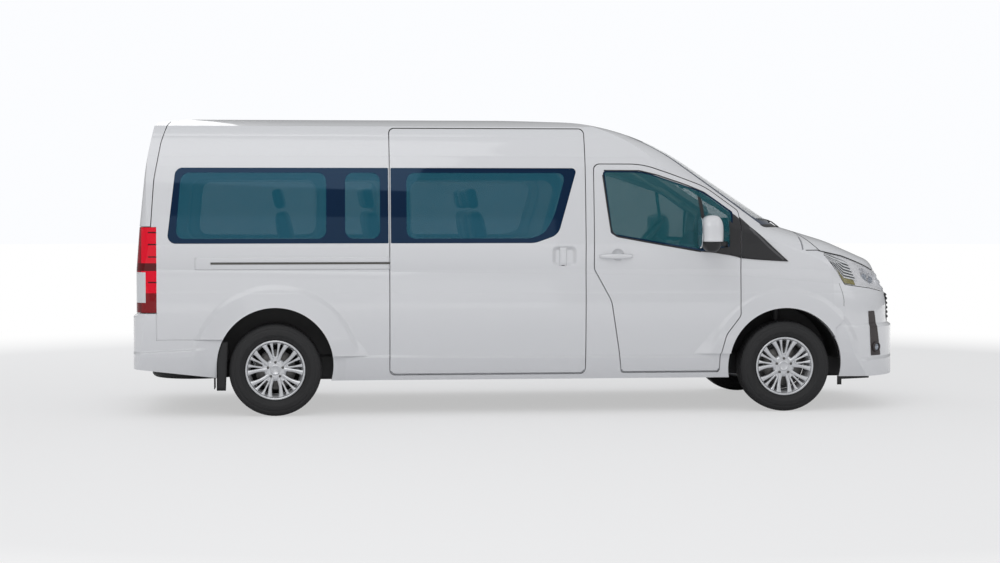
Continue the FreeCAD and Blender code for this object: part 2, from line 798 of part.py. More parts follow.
def make_liners():
    """A shell inside each wheel arch, open below and towards the wheel."""
    liners = []
    for side in (-1, 1):
        for x, z, radius, inner_y in (
                (front_axle_x, tyre_radius + 10.0, front_arch_radius, front_liner_inner_y),
                (rear_axle_x, rear_arch_height, rear_arch_radius, rear_liner_inner_y)):
            outside = arch_cylinder(side, x, z, radius, inner_y)
            inside = arch_cylinder(side, x, z, radius - liner_wall, inner_y + liner_wall)
            keep = box(x - 600.0, x + 600.0, -1000.0, 1000.0, floor_bottom - 120.0, 1000.0)
            liner = outside.cut(inside).common(keep).common(body_form(wall + fit_gap))
            arm_slot = box(front_axle_x - 80.0, front_axle_x + 80.0, -front_liner_inner_y - 2 * liner_wall,
                           front_liner_inner_y + 2 * liner_wall, rail_bottom - 20.0, knuckle_top + 45.0)
            liners.append(liner.cut(arm_slot))
    return solids_of(liners)


bulkhead_x = 1912.0


def make_bulkhead():
    """The wall between the cab and the engine."""
    half = ((-front_liner_inner_y + 6.0, floor_top + fit_gap, 0.0), (-front_liner_inner_y + 6.0, 810.0, 0.0),
            (-860.0, 810.0, 0.0), (-860.0, 1330.0, 40.0), (860.0, 1330.0, 40.0), (860.0, 810.0, 0.0),
            (front_liner_inner_y - 6.0, 810.0, 0.0), (front_liner_inner_y - 6.0, floor_top + fit_gap, 0.0))
    return front_outline(half, bulkhead_x, bulkhead_x + 6.0).common(body_form(wall + fit_gap))


engine_rear = 1960.0
engine_front = 2440.0
engine_half = 270.0
gearbox_rear = 1250.0


def make_engine():
    """The engine and its gearbox, as plain blocks."""
    block = box(engine_rear, engine_front, -engine_half, engine_half, 400.0, 930.0)
    gearbox = box(gearbox_rear, engine_rear + 1.0, -140.0, 140.0, 300.0 + fit_gap, floor_bottom - fit_gap)
    feet = both(box(2100.0, 2180.0, engine_half - 1.0, rail_inner_y - fit_gap,
                    rail_bottom + 20.0, floor_bottom - 20.0))
    return block.fuse([gearbox] + feet.Solids).removeSplitter()


def make_radiator():
    """The radiator behind the grille, between the rails."""
    half = rail_inner_y - fit_gap
    return box(rail_front - 50.0, rail_front - 10.0, -half, half, 430.0, 1000.0)


axle_z = tyre_radius
axle_nose = 200.0
hub_face_y = half_track + 42.0
hub_back_y = half_track - 8.0


def make_rear_axle():
    """The rear axle's tube and differential."""
    reach = hub_back_y - fit_gap
    tube = cylinder_between((rear_axle_x, -reach, axle_z), (rear_axle_x, reach, axle_z), 42.0)
    casing = cylinder_between((rear_axle_x, -105.0, axle_z), (rear_axle_x, 105.0, axle_z), 135.0)
    nose = cylinder_between((rear_axle_x, 0.0, axle_z), (rear_axle_x + axle_nose, 0.0, axle_z), 60.0)
    plates = [cylinder_between((rear_axle_x, y0, axle_z), (rear_axle_x, y0 + 10.0, axle_z), 140.0)
              for y0 in (-hub_back_y + 16.0, hub_back_y - 26.0)]
    return tube.fuse([casing, nose] + plates).removeSplitter()


spring_y = 545.0
spring_half_width = 32.0
spring_thickness = 36.0


def make_springs():
    """The rear leaf springs, with a hanger at each end."""
    seat = axle_z + 42.0 + fit_gap
    front = (rear_axle_x + 660.0, seat + 78.0)
    rear = (rear_axle_x - 660.0, seat + 78.0)
    over = V(rear_axle_x, 0.0, seat)
    arcs = []
    for lift in (0.0, spring_thickness):
        arcs.append(Part.Arc(V(rear[0], 0.0, rear[1] + lift), over + V(0, 0, lift),
                             V(front[0], 0.0, front[1] + lift)).toShape())
    ends = [Part.LineSegment(V(x, 0.0, z), V(x, 0.0, z + spring_thickness)).toShape()
            for x, z in (front, rear)]
    leaf = Part.Face(Part.Wire(Part.__sortEdges__(arcs + ends))).extrude(V(0, spring_half_width * 2, 0))
    leaf.translate(V(0, spring_y - spring_half_width, 0))
    hangers = [box(x - 25.0, x + 25.0, rail_y + rail_width / 2 + fit_gap, spring_y + spring_half_width,
                   z + 2.0, floor_bottom - fit_gap) for x, z in (front, rear)]
    return both(leaf.fuse(hangers).removeSplitter())


def make_prop_shaft():
    """The shaft from the gearbox down to the rear axle."""
    end_gap = fit_gap + 0.7
    start = (rear_axle_x + axle_nose + end_gap, 0.0, axle_z)
    return cylinder_between(start, (gearbox_rear - end_gap, 0.0, 400.0), 38.0)


exhaust_y = -345.0
exhaust_radius = 27.0
# Columns: x, z of each bend of the pipe
exhaust_route = (
    (1820.0, 360.0),
    (900.0, 345.0),
    (-300.0, 345.0),
    (-1450.0, 432.0),
    (-2300.0, 432.0),
    (-2860.0, 340.0),
)
# Columns: x, height of the pipe's middle there
exhaust_hangers = ((1400.0, 353.0), (350.0, 385.0), (-700.0, 376.0), (-2200.0, 432.0))


def make_exhaust():
    """The exhaust pipe and its silencer."""
    pieces = []
    for (x0, z0), (x1, z1) in zip(exhaust_route, exhaust_route[1:]):
        pieces.append(cylinder_between((x0, exhaust_y, z0), (x1, exhaust_y, z1), exhaust_radius))
    for x, z in exhaust_route[1:-1]:
        pieces.append(Part.makeSphere(exhaust_radius, V(x, exhaust_y, z)))
    pieces.append(cylinder_between((700.0, exhaust_y, 345.0), (0.0, exhaust_y, 345.0), 62.0))
    for x, z in exhaust_hangers:
        pieces.append(box(x - 8.0, x + 8.0, exhaust_y - 12.0, exhaust_y + 12.0, z, floor_bottom - fit_gap))
    return pieces[0].fuse(pieces[1:])


def make_fuel_tank():
    """The fuel tank, hung outside the left rail."""
    top = floor_bottom - fit_gap
    outline = ((-1150.0, top, 20.0), (-150.0, top, 20.0), (-150.0, 290.0, 40.0), (-1150.0, 290.0, 40.0))
    return side_outline(outline, rail_y + rail_width / 2 + fit_gap, 850.0)


spare_centre = V(-2540.0, 45.0, 340.0)


def make_spare_wheel():
    """The spare wheel, flat under the rear floor."""
    half = 82.0
    wheel = make_tyre(0.0).fuse(Part.makeCylinder(bead_radius, 2 * half, V(0, -half, 0), V(0, 1, 0)))
    wheel.rotate(V(0, 0, 0), V(1, 0, 0), 90)
    wheel.translate(spare_centre)
    hanger = cylinder_between((spare_centre.x, spare_centre.y, spare_centre.z),
                              (spare_centre.x, spare_centre.y, floor_bottom - fit_gap), 22.0)
    return wheel.fuse(hanger)


def make_mudflaps():
    """A flap behind each rear wheel."""
    flap_x = rear_axle_x - rear_arch_radius - 18.0
    return both(box(flap_x - 6.0, flap_x, 690.0, 850.0, 200.0, floor_bottom - fit_gap))


arm_thickness = 32.0


def suspension_arm(root_y, root_half, bottom):
    """A left-hand arm that narrows from its root at root_y to the steering pivot."""
    tip_y = kingpin_y + 28.0
    outline = ((front_axle_x - root_half, root_y, 0.0), (front_axle_x - 28.0, tip_y, 0.0),
               (front_axle_x + 28.0, tip_y, 0.0), (front_axle_x + root_half, root_y, 0.0))
    return plan_outline(outline, bottom, bottom + arm_thickness)


def make_front_suspension():
    """The front crossmember with its lower arms, and the upper arms that carry the springs."""
    member = box(front_axle_x - 90.0, front_axle_x + 90.0, -430.0, 430.0, 235.0, 300.0)
    posts = both(box(front_axle_x - 60.0, front_axle_x + 60.0, 395.0, 430.0, 290.0, rail_bottom - fit_gap))
    lower = both(suspension_arm(420.0, 90.0, knuckle_bottom - fit_gap - arm_thickness))
    upper = suspension_arm(rail_y + rail_width / 2 + fit_gap, 55.0, knuckle_top + fit_gap)
    spring_top = tyre_radius + 10.0 + front_arch_radius - liner_wall - 1.5
    spring_middle = (front_axle_x, 615.0)
    spring = cylinder_between((*spring_middle, knuckle_top + 5.0), (*spring_middle, spring_top), 30.0)
    base = member.fuse(posts.Solids + lower.Solids).removeSplitter()
    return solids_of([base, both(upper.fuse(spring).removeSplitter())])


knuckle_bottom = 238.0
knuckle_top = 470.0


def make_knuckle():
    """The right knuckle: the upright that steers, and the stub that carries the wheel."""
    pivot = (front_axle_x, -kingpin_y)
    upright = cylinder_between((*pivot, knuckle_bottom), (*pivot, knuckle_top), 30.0)
    stub = cylinder_between((*pivot, axle_z), (front_axle_x, -hub_back_y + fit_gap, axle_z), 34.0)
    arm = box(front_axle_x - 120.0, front_axle_x, -kingpin_y - 16.0, -kingpin_y + 16.0, 262.0, 292.0)
    return upright.fuse([stub, arm]).removeSplitter()


# Wheels. Each profile is turned about the wheel's axis.
# Columns: radius, distance from the middle, corner radius
bead_radius = 204.0
tyre_half_section = (
    (bead_radius, 78.0, 0.0),
    (bead_radius, 88.6, 0.0),
    (226.0, 88.6, 4.0),
    (262.0, tyre_width / 2 + 1.0, 60.0),
    (tyre_radius - 18.0, tyre_width / 2 - 2.0, 40.0),
    (tyre_radius, 88.0, 16.0),
)
rim_seat = bead_radius - fit_gap
rim_half_width = 88.9
rim_flange = 8.0


def turned(profile, middle_y):
    """A ring turned about the Y axis from a closed profile of (radius, y, corner radius)."""
    wire = Part.Wire(corner_edges(profile, lambda radius, y: V(0, middle_y + y, radius), True))
    return Part.Face(wire).revolve(V(0, 0, 0), V(0, 1, 0), 360)


def make_tyre(middle_y):
    """A hollow tyre about the Y axis."""
    outer = list(tyre_half_section)
    outer += [(radius, -y, corner) for radius, y, corner in reversed(tyre_half_section)]
    crown = tyre_radius - 12.0
    inner = [(228.0, -80.0, 0.0), (300.0, -100.0, 20.0), (crown, -84.0, 10.0),
             (crown, 84.0, 10.0), (300.0, 100.0, 20.0), (228.0, 80.0, 0.0)]
    return turned(outer + inner, middle_y)


def make_rim(middle_y):
    """A rim with its hub, brake disc and five groups of spokes; the outer side faces -Y."""
    barrel = turned([
        (rim_seat, -rim_half_width, 0.0), (rim_radius, -rim_half_width, 0.0),
        (rim_radius, -rim_half_width - rim_flange, 3.0), (rim_seat - 8.0, -rim_half_width - rim_flange, 3.0),
        (rim_seat - 14.0, -40.0, 0.0), (rim_seat - 14.0, rim_half_width + rim_flange, 0.0),
        (rim_radius, rim_half_width + rim_flange, 3.0), (rim_radius, rim_half_width, 0.0),
        (rim_seat, rim_half_width, 0.0)], 0.0)
    hub = turned([(0.0, -70.0, 0.0), (58.0, -70.0, 6.0), (74.0, -52.0, 6.0), (74.0, 8.0, 0.0),
                  (0.0, 8.0, 0.0)], 0.0)
    disc = turned([(0.0, -8.0, 0.0), (150.0, -8.0, 0.0), (150.0, 8.0, 0.0), (0.0, 8.0, 0.0)], 0.0)
    spokes = []
    for i in range(5):
        for offset, width, thickness, root in ((-11.0, 24.0, 26.0, 50.0), (11.0, 24.0, 26.0, 50.0),
                                               (-29.0, 12.0, 18.0, 108.0), (29.0, 12.0, 18.0, 108.0)):
            bar = box(-width / 2, width / 2, -84.0, -84.0 + thickness, root, rim_seat - 9.0)
            bar.rotate(V(0, 0, 0), V(0, 1, 0), 72.0 * i + 180.0 + offset)
            spokes.append(bar)
    bridge = turned([(104.0, -84.0, 0.0), (118.0, -84.0, 0.0), (118.0, -66.0, 0.0), (104.0, -66.0, 0.0)], 0.0)
    rim = barrel.fuse([hub, disc, bridge] + spokes)
    rim.translate(V(0, middle_y, 0))
    return rim


def placed_wheel(shape, x, side):
    """A wheel piece made about the Y axis with its outer side towards -Y, put on its axle."""
    piece = shape.copy()
    piece.translate(V(x, -half_track, axle_z))
    return mirrored(piece) if side == 1 else piece


# Inside

driver_y = 430.0
steering_centre = V(1136.0, driver_y, 1320.0)
steering_axis = V(-0.773, 0.0, 0.634).normalize()
steering_ring = 185.0


def make_steering_wheel():
    """The steering wheel: a ring, a hub and three spokes."""
    ring = Part.makeTorus(steering_ring, 15.0, steering_centre, steering_axis)
    hub = Part.makeCylinder(60.0, 34.0, steering_centre - steering_axis * 34.0, steering_axis)
    spokes = []
    for angle in (0.0, 120.0, 240.0):
        spoke = Part.makeBox(34.0, steering_ring - 40.0, 14.0, V(-17.0, 38.0, -18.0))
        spoke.rotate(V(0, 0, 0), V(0, 0, 1), angle - 90.0)
        spoke.rotate(V(0, 0, 0), V(0, 1, 0), -math.degrees(math.atan2(0.773, 0.634)))
        spoke.translate(steering_centre)
        spokes.append(spoke)
    return ring.fuse([hub] + spokes)


def make_dashboard():
    """The dashboard and the steering column."""
    front = bulkhead_x - fit_gap
    outline = ((1455.0, 1250.0, 50.0), (1530.0, 1345.0, 60.0), (1880.0, 1345.0, 20.0), (front, 1300.0, 10.0),
               (front, 900.0, 20.0), (1560.0, 900.0, 60.0))
    dash = side_outline(outline, -860.0, 860.0).common(body_form(wall + frame_depth + 8.0))
    start = steering_centre - steering_axis * (34.0 + fit_gap)
    column = Part.makeCylinder(38.0, 520.0, start, steering_axis * -1.0)
    return dash.fuse(column).removeSplitter()


seat_width = 430.0
seat_depth = 470.0
seat_height = 400.0
cushion_thickness = 130.0
back_thickness = 110.0
back_height = 595.0
back_foot = -121.0
back_lean = 12.0
rest_height = 165.0

# Columns: x of the back's foot, y of the seat's middle
front_seats = ((640.0, driver_y), (640.0, -150.0), (640.0, -600.0))
rear_seats = (
    (-230.0, 600.0), (-230.0, 155.0), (-230.0, -580.0),
    (-1020.0, 600.0), (-1020.0, 155.0), (-1020.0, -580.0),
    (-1700.0, 432.0), (-1700.0, 0.0), (-1700.0, -432.0),
)


def seat_cushion(x, y):
    """A seat cushion."""
    top = floor_top + seat_height
    outline = ((x + 8.0, top, 35.0), (x + seat_depth, top + 15.0, 50.0),
               (x + seat_depth, top - cushion_thickness, 30.0), (x + 34.0, top - cushion_thickness, 20.0))
    return side_outline(outline, y - seat_width / 2, y + seat_width / 2)


def seat_back(x, y):
    """A seat back with its head restraint on top."""
    top = floor_top + seat_height + 10.0
    back = side_outline(((-back_thickness, back_height, 40.0), (0.0, back_height, 40.0),
                         (0.0, back_foot, 10.0), (-back_thickness, back_foot, 10.0)),
                        -seat_width / 2, seat_width / 2)
    rest_top = back_height + rest_height
    rest_foot = back_height + fit_gap
    rest = side_outline(((-90.0, rest_top, 35.0), (-10.0, rest_top, 35.0),
                         (-10.0, rest_foot, 20.0), (-90.0, rest_foot, 20.0)), -125.0, 125.0)
    pieces = solids_of([back, rest])
    pieces.rotate(V(0, 0, 0), V(0, 1, 0), -back_lean)
    pieces.translate(V(x, y, top))
    return pieces


def seat_frame(x, y):
    """The legs and the pan under a seat."""
    top = floor_top + seat_height - cushion_thickness - fit_gap
    half = seat_width / 2 - 30.0
    pan = box(x - 85.0, x + seat_depth - 40.0, y - half, y + half, top - 30.0, top)
    legs = [box(x + 20.0, x + seat_depth - 90.0, y0 - 15.0, y0 + 15.0, floor_top + fit_gap, top - 20.0)
            for y0 in (y - 120.0, y + 120.0)]
    return pan.fuse(legs).removeSplitter()


def make_mirror():
    """The right door mirror: a rounded housing on a short arm."""
    outline = ((1258.0, 1502.0, 55.0), (1408.0, 1496.0, 55.0), (1420.0, 1320.0, 40.0), (1350.0, 1214.0, 30.0),
               (1262.0, 1222.0, 30.0), (1250.0, 1330.0, 30.0))
    housing = side_outline(outline, -1238.0, -1022.0)
    plan = ((1240.0, -1022.0, 30.0), (1425.0, -1022.0, 60.0),
            (1425.0, -1238.0, 90.0), (1240.0, -1238.0, 25.0))
    housing = housing.common(plan_outline(plan, 1100.0, 1600.0))
    arm = cylinder_between((1350.0, -1030.0, 1286.0), (1510.0, -950.0, 1274.0), 17.0)
    arm = arm.cut(section_form(-fit_gap, 0.0))
    return housing.fuse(arm).removeSplitter()


os.makedirs("parts", exist_ok=True)
right_door = make_door(front_door_outline, front_pane_outline, front_glass_outline)
right_door_glass = glass_plate(front_glass_outline, -1)
right_mirror = make_mirror()
right_knuckle = make_knuckle()
tyre = make_tyre(0.0)
rim = make_rim(0.0)
all_seats = front_seats + rear_seats

nodes = {
    "floor_pan": make_floor(),
    "right_side": make_side(False),
    "left_side": make_side(True),
    "roof": make_roof(),
    "windscreen": make_windscreen(),
    "screen_frame": make_screen_frame(),
    "cowl": make_cowl(),
    "bonnet": shell(bonnet_wall).common(bonnet_region),
    "front_fenders": make_fenders(),
    "headlamps": shell(bumper_wall).common(headlamp_region).cut([bumper_region, bonnet_region]),
    "grille": shell(bumper_wall).common(grille_region),
    "front_bumper": make_front_bumper(),
    "rear_bumper": make_rear_bumper(),
    "tail_lamps": shell(wall).common(tail_lamp_region),
    "side_glass": solids_of([glass_plate(rear_glass_outline, -1), glass_plate(rear_glass_outline, 1),
                             glass_plate(slider_glass_outline, 1)]),
    "sliding_door": make_door(sliding_door_outline, slider_pane_outline, slider_glass_outline),
    "sliding_door_glass": glass_plate(slider_glass_outline, -1),
    "right_door": right_door,
    "left_door": mirrored(right_door),
    "right_door_glass": right_door_glass,
    "left_door_glass": mirrored(right_door_glass),
    "right_mirror": right_mirror,
    "left_mirror": mirrored(right_mirror),
    "tailgate": make_tailgate(),
    "rear_portal": make_rear_portal(),
    "tailgate_glass": make_tailgate_glass(),
    "wheel_liners": make_liners(),
    "bulkhead": make_bulkhead(),
    "engine": make_engine(),
    "radiator": make_radiator(),
    "rear_axle": make_rear_axle(),
    "leaf_springs": make_springs(),
    "prop_shaft": make_prop_shaft(),
    "exhaust": make_exhaust(),
    "fuel_tank": make_fuel_tank(),
    "spare_wheel": make_spare_wheel(),
    "mudflaps": make_mudflaps(),
    "front_suspension": make_front_suspension(),
    "right_knuckle": right_knuckle,
    "left_knuckle": mirrored(right_knuckle),
    "steering_wheel": make_steering_wheel(),
    "dashboard": make_dashboard(),
    "seat_cushions": solids_of([seat_cushion(x, y) for x, y in all_seats]),
    "seat_backs": solids_of([seat_back(x, y) for x, y in all_seats]),
    "seat_frames": solids_of([seat_frame(x, y) for x, y in all_seats]),
}
for end, x in (("front", front_axle_x), ("rear", rear_axle_x)):
    for hand, side in (("right", -1), ("left", 1)):
        nodes[hand + "_" + end + "_tyre"] = placed_wheel(tyre, x, side)
        nodes[hand + "_" + end + "_rim"] = placed_wheel(rim, x, side)

for name, shape in nodes.items():
    save(name, shape)
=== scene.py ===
import math

import bmesh
import bpy
import numpy as np
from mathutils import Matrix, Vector


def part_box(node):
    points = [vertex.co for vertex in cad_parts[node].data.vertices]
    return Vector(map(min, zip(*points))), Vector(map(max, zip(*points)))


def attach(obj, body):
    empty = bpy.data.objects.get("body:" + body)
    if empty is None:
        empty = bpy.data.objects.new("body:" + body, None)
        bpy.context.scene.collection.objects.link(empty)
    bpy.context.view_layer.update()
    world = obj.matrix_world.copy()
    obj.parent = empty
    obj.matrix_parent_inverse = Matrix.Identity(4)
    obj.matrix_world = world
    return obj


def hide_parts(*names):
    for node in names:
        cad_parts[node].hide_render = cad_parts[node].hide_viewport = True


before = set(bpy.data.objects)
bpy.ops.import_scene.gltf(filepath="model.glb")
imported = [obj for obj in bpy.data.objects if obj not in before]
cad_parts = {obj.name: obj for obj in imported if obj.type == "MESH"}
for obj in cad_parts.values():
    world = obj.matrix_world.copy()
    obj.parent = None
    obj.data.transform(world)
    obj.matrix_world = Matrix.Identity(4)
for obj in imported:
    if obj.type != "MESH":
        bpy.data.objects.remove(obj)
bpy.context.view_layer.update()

# The photograph's place. A long lens looks along the right-hand side from a little behind the middle,
# on a pale floor that fades to white and still holds the vehicle's shadow.
camera_place = Vector((-1.696, -15.975, 1.612))
camera_yaw = 0.0969
camera_pitch = 0.0405
sensor_width = 36.0
focal_pixels = 2015.6
photo_width = 1000.0
eye = bpy.data.cameras.new("camera")
eye.sensor_width = sensor_width
eye.lens = focal_pixels / photo_width * sensor_width
camera = bpy.data.objects.new("camera", eye)
bpy.context.scene.collection.objects.link(camera)
camera.location = camera_place
aim = Vector((math.sin(camera_yaw) * math.cos(camera_pitch), math.cos(camera_yaw) * math.cos(camera_pitch),
              -math.sin(camera_pitch)))
camera.rotation_mode = "QUATERNION"
camera.rotation_quaternion = aim.to_track_quat("-Z", "Y")
bpy.context.scene.camera = camera
bpy.context.scene.view_settings.view_transform = "Standard"


def add_node(tree, kind, inputs=(), **settings):
    """A shader node with its settings made and its inputs linked, or set where they are plain values."""
    node = tree.nodes.new(kind)
    for key, value in settings.items():
        setattr(node, key, value)
    for key, value in dict(inputs).items():
        if isinstance(value, bpy.types.NodeSocket):
            tree.links.new(value, node.inputs[key])
        else:
            node.inputs[key].default_value = value
    return node


def calc(tree, operation, *values):
    """The result of one math node."""
    return add_node(tree, "ShaderNodeMath", enumerate(values), operation=operation).outputs[0]


# Studio. The world lights everything evenly and shows as white to the camera, in glass and in metal.
world = bpy.data.worlds.new("studio")
bpy.context.scene.world = world
world.use_nodes = True
sky = world.node_tree
sky.nodes.clear()
ray = add_node(sky, "ShaderNodeLightPath")
seen = calc(sky, "MAXIMUM", ray.outputs["Is Camera Ray"], ray.outputs["Is Transmission Ray"])
height = add_node(sky, "ShaderNodeSeparateXYZ", {0: add_node(sky, "ShaderNodeTexCoord").outputs["Generated"]})
upper = add_node(sky, "ShaderNodeMapRange", {0: height.outputs[2], 1: -0.05, 2: 0.75, 3: 0.24, 4: 0.66})
glow = add_node(sky, "ShaderNodeMix", {0: seen, 2: upper.outputs[0], 3: 1.0})
shine = add_node(sky, "ShaderNodeBackground", {0: (0.97, 0.98, 1.0, 1.0), 1: glow.outputs[0]})
sky.links.new(shine.outputs[0], add_node(sky, "ShaderNodeOutputWorld").inputs[0])

for name, place, size, power in (
        ("key_light", (-3.0, -9.0, 7.5), 7.0, 185.0),
        ("fill_light", (7.0, -6.0, 4.0), 4.0, 40.0),
        ("back_light", (-5.0, 8.0, 6.0), 6.0, 110.0),
        ("low_light", (-1.0, -11.0, 0.9), 5.0, 44.0),
):
    lamp = bpy.data.lights.new(name, "AREA")
    lamp.size = size
    lamp.energy = power
    holder = bpy.data.objects.new(name, lamp)
    holder.location = place
    holder.rotation_mode = "QUATERNION"
    holder.rotation_quaternion = (Vector((0.0, 0.0, 0.9)) - Vector(place)).to_track_quat("-Z", "Y")
    bpy.context.scene.collection.objects.link(holder)

dome = bpy.data.lights.new("cabin_light", "AREA")
dome.shape = "RECTANGLE"
dome.size, dome.size_y, dome.energy = 3.4, 0.8, 14.0
dome_holder = bpy.data.objects.new("cabin_light", dome)
dome_holder.location = (-0.6, 0.0, 2.02)
dome_holder.visible_camera = False
bpy.context.scene.collection.objects.link(dome_holder)



def cells(index):
    """Four-cornered faces between the neighbours in a grid of point numbers."""
    return np.stack([index[:-1, :-1], index[1:, :-1], index[1:, 1:], index[:-1, 1:]], -1).reshape(-1, 4)


def spread(low, high, count, start, end, steps):
    """Two grids: one runs from low to high down the rows, the other from start to end along them."""
    return np.meshgrid(np.linspace(low, high, count), np.linspace(start, end, steps), indexing="ij")


def power(wave, exponent):
    """A power of the wave that keeps its sign: it turns circles into rounded squares."""
    return np.sign(wave) * np.abs(wave) ** exponent


floor_reach = 60.0
angles = np.linspace(0.0, 2.0 * np.pi, 64, endpoint=False)
rings = np.array([0.0, 6.0, 12.0, 24.0, floor_reach])
disc = np.stack([np.outer(rings, np.cos(angles)), np.outer(rings, np.sin(angles)),
                 np.zeros((len(rings), len(angles)))], -1)
ground_mesh = bpy.data.meshes.new("studio_floor")
index = np.arange(disc[..., 0].size).reshape(disc.shape[:2])
ground_mesh.from_pydata(disc.reshape(-1, 3).tolist(), [], cells(np.hstack([index, index[:, :1]])).tolist())
ground = bpy.data.objects.new("studio_floor", ground_mesh)
bpy.context.scene.collection.objects.link(ground)
pale = bpy.data.materials.new("studio_floor")
pale.use_nodes = True
tree = pale.node_tree
tree.nodes.clear()
place = add_node(tree, "ShaderNodeTexCoord").outputs["Object"]
away = add_node(tree, "ShaderNodeVectorMath", {0: place}, operation="LENGTH").outputs["Value"]
fade = add_node(tree, "ShaderNodeMapRange", {0: away, 1: 4.2, 2: 10.0}, interpolation_type="SMOOTHSTEP")
matt = add_node(tree, "ShaderNodeBsdfDiffuse", {0: (0.80, 0.80, 0.81, 1.0)})
white = add_node(tree, "ShaderNodeEmission", {0: (1.0, 1.0, 1.0, 1.0), 1: 1.0})
watched = add_node(tree, "ShaderNodeLightPath").outputs["Is Camera Ray"]
lifted = calc(tree, "MAXIMUM", fade.outputs[0], calc(tree, "MULTIPLY", watched, 0.5))
both_sorts = add_node(tree, "ShaderNodeMixShader", {0: lifted, 1: matt.outputs[0], 2: white.outputs[0]})
tree.links.new(both_sorts.outputs[0], add_node(tree, "ShaderNodeOutputMaterial").inputs[0])
ground_mesh.materials.append(pale)


# Floor pan, rails, bulkhead, seat frames and suspension. Pressed and welded sheet steel under a thick
# black satin coat, a little uneven where it was sprayed and dusty from the road.
def finish(name, colour, roughness, metallic=0.0, grain=120.0, shade=0.08, bump=0.0, depth=0.0004, **sockets):
    """A surface whose colour and roughness drift with a fine noise, on the piece's own coordinates.
    Sockets are set on the shader by name, with underscores for spaces."""
    material = bpy.data.materials.new(name)
    material.use_nodes = True
    tree = material.node_tree
    shader = tree.nodes["Principled BSDF"]
    place = add_node(tree, "ShaderNodeTexCoord").outputs["Object"]
    noise = add_node(tree, "ShaderNodeTexNoise", {"Vector": place, "Scale": grain, "Detail": 4.0}).outputs[0]
    cloud = add_node(tree, "ShaderNodeTexNoise", {"Vector": place, "Scale": 3.0, "Detail": 3.0}).outputs[0]
    drift = calc(tree, "MULTIPLY_ADD", cloud, shade, 1.0 - shade / 2)
    tint = add_node(tree, "ShaderNodeVectorMath", {0: (*colour, ), "Scale": drift}, operation="SCALE")
    tree.links.new(tint.outputs[0], shader.inputs["Base Color"])
    rough = calc(tree, "MULTIPLY_ADD", noise, roughness * 0.3, roughness * 0.85)
    tree.links.new(rough, shader.inputs["Roughness"])
    shader.inputs["Metallic"].default_value = metallic
    if bump > 0.0:
        relief = add_node(tree, "ShaderNodeBump", {"Height": noise, "Strength": bump, "Distance": depth})
        tree.links.new(relief.outputs[0], shader.inputs["Normal"])
    for key, value in sockets.items():
        shader.inputs[key.replace("_", " ")].default_value = value
    return material


def wear(material, *nodes):
    """Gives the finish to nodes of the frame."""
    for node in nodes:
        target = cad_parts[node]
        target.data.materials.clear()
        target.data.materials.append(material)


chassis_black = finish("chassis_black", (0.030, 0.030, 0.032), 0.5, bump=0.3)
wear(chassis_black, "floor_pan", "bulkhead", "seat_frames", "front_suspension", "rear_axle", "fuel_tank")

# Engine and gearbox, and the knuckles that carry the front wheels. Raw castings of iron and light alloy
# with a sandy skin, bolted to the rails and to the suspension's arms.
raw_casting = finish("raw_casting", (0.16, 0.16, 0.165), 0.62, metallic=0.7, grain=260.0, bump=0.6)
wear(raw_casting, "engine", "right_knuckle", "left_knuckle")

# Springs, prop shaft and exhaust. Plain steel, dulled and lightly browned by heat and weather; the springs
# are clamped to the axle and the exhaust hangs on rubber loops.
dull_steel = finish("dull_steel", (0.30, 0.28, 0.26), 0.42, metallic=0.9, shade=0.35, bump=0.2)
wear(dull_steel, "leaf_springs", "prop_shaft", "exhaust")

# Radiator core. Rows of thin aluminium fins between flat tubes, brazed together, seen through the grille
# and from below.
radiator_fins = finish("radiator_fins", (0.22, 0.22, 0.23), 0.5, metallic=0.8, grain=500.0, bump=0.8)
wear(radiator_fins, "radiator")

# Arch liners, mudflaps and cowl. Black polymer and rubber, moulded with a fine leathery grain and clipped
# or screwed to the steel.
black_moulding = finish("black_moulding", (0.018, 0.018, 0.019), 0.55, grain=420.0, bump=0.35)
wear(black_moulding, "wheel_liners", "mudflaps", "cowl")


# Tyres. Black rubber on steel cords: a rounded shoulder, a sidewall with fine raised rings, and a tread
# with four grooves round it and slanting cuts across the blocks.
def add_piece(name, grids, material, body, slot, outward=None, smooth=True, thickness=0.0):
    """One mesh from grids of points (rows, columns, 3) with a face between neighbours. A grid is wrapped
    round its rows where it comes with True. Seams and poles are merged and the faces turned outwards."""
    points = []
    faces = []
    start = 0
    for grid, wrapped in grids:
        rows, columns = grid.shape[:2]
        index = start + np.arange(rows * columns).reshape(rows, columns)
        if wrapped:
            index = np.vstack([index, index[:1]])
        faces.append(cells(index))
        points.append(grid.reshape(-1, 3))
        start += rows * columns
    mesh = bpy.data.meshes.new(name)
    mesh.from_pydata(np.concatenate(points).tolist(), [], np.concatenate(faces).tolist())
    work = bmesh.new()
    work.from_mesh(mesh)
    bmesh.ops.remove_doubles(work, verts=work.verts, dist=1e-6)
    bmesh.ops.dissolve_degenerate(work, edges=work.edges, dist=1e-7)
    bmesh.ops.recalc_face_normals(work, faces=work.faces)
    if outward is not None:
        total = sum((face.normal * face.calc_area() for face in work.faces), Vector())
        if total.dot(Vector(outward)) < 0.0:
            bmesh.ops.reverse_faces(work, faces=work.faces)
    work.to_mesh(mesh)
    work.free()
    mesh.polygons.foreach_set("use_smooth", np.full(len(mesh.polygons), smooth))
    piece = bpy.data.objects.new(name, mesh)
    bpy.context.scene.collection.objects.link(piece)
    mesh.materials.append(material)
    if thickness > 0.0:
        wall = piece.modifiers.new("wall", "SOLIDIFY")
        wall.thickness = thickness
        wall.offset = -1.0
    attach(piece, body)
    return piece


half_track = 0.835
axle_height = 0.345
axle_places = {"front": 1.9475, "rear": -1.9125}
tyre_radius = 0.345
bead_radius = 0.204
tyre_half = 0.114
tread_half = 0.088
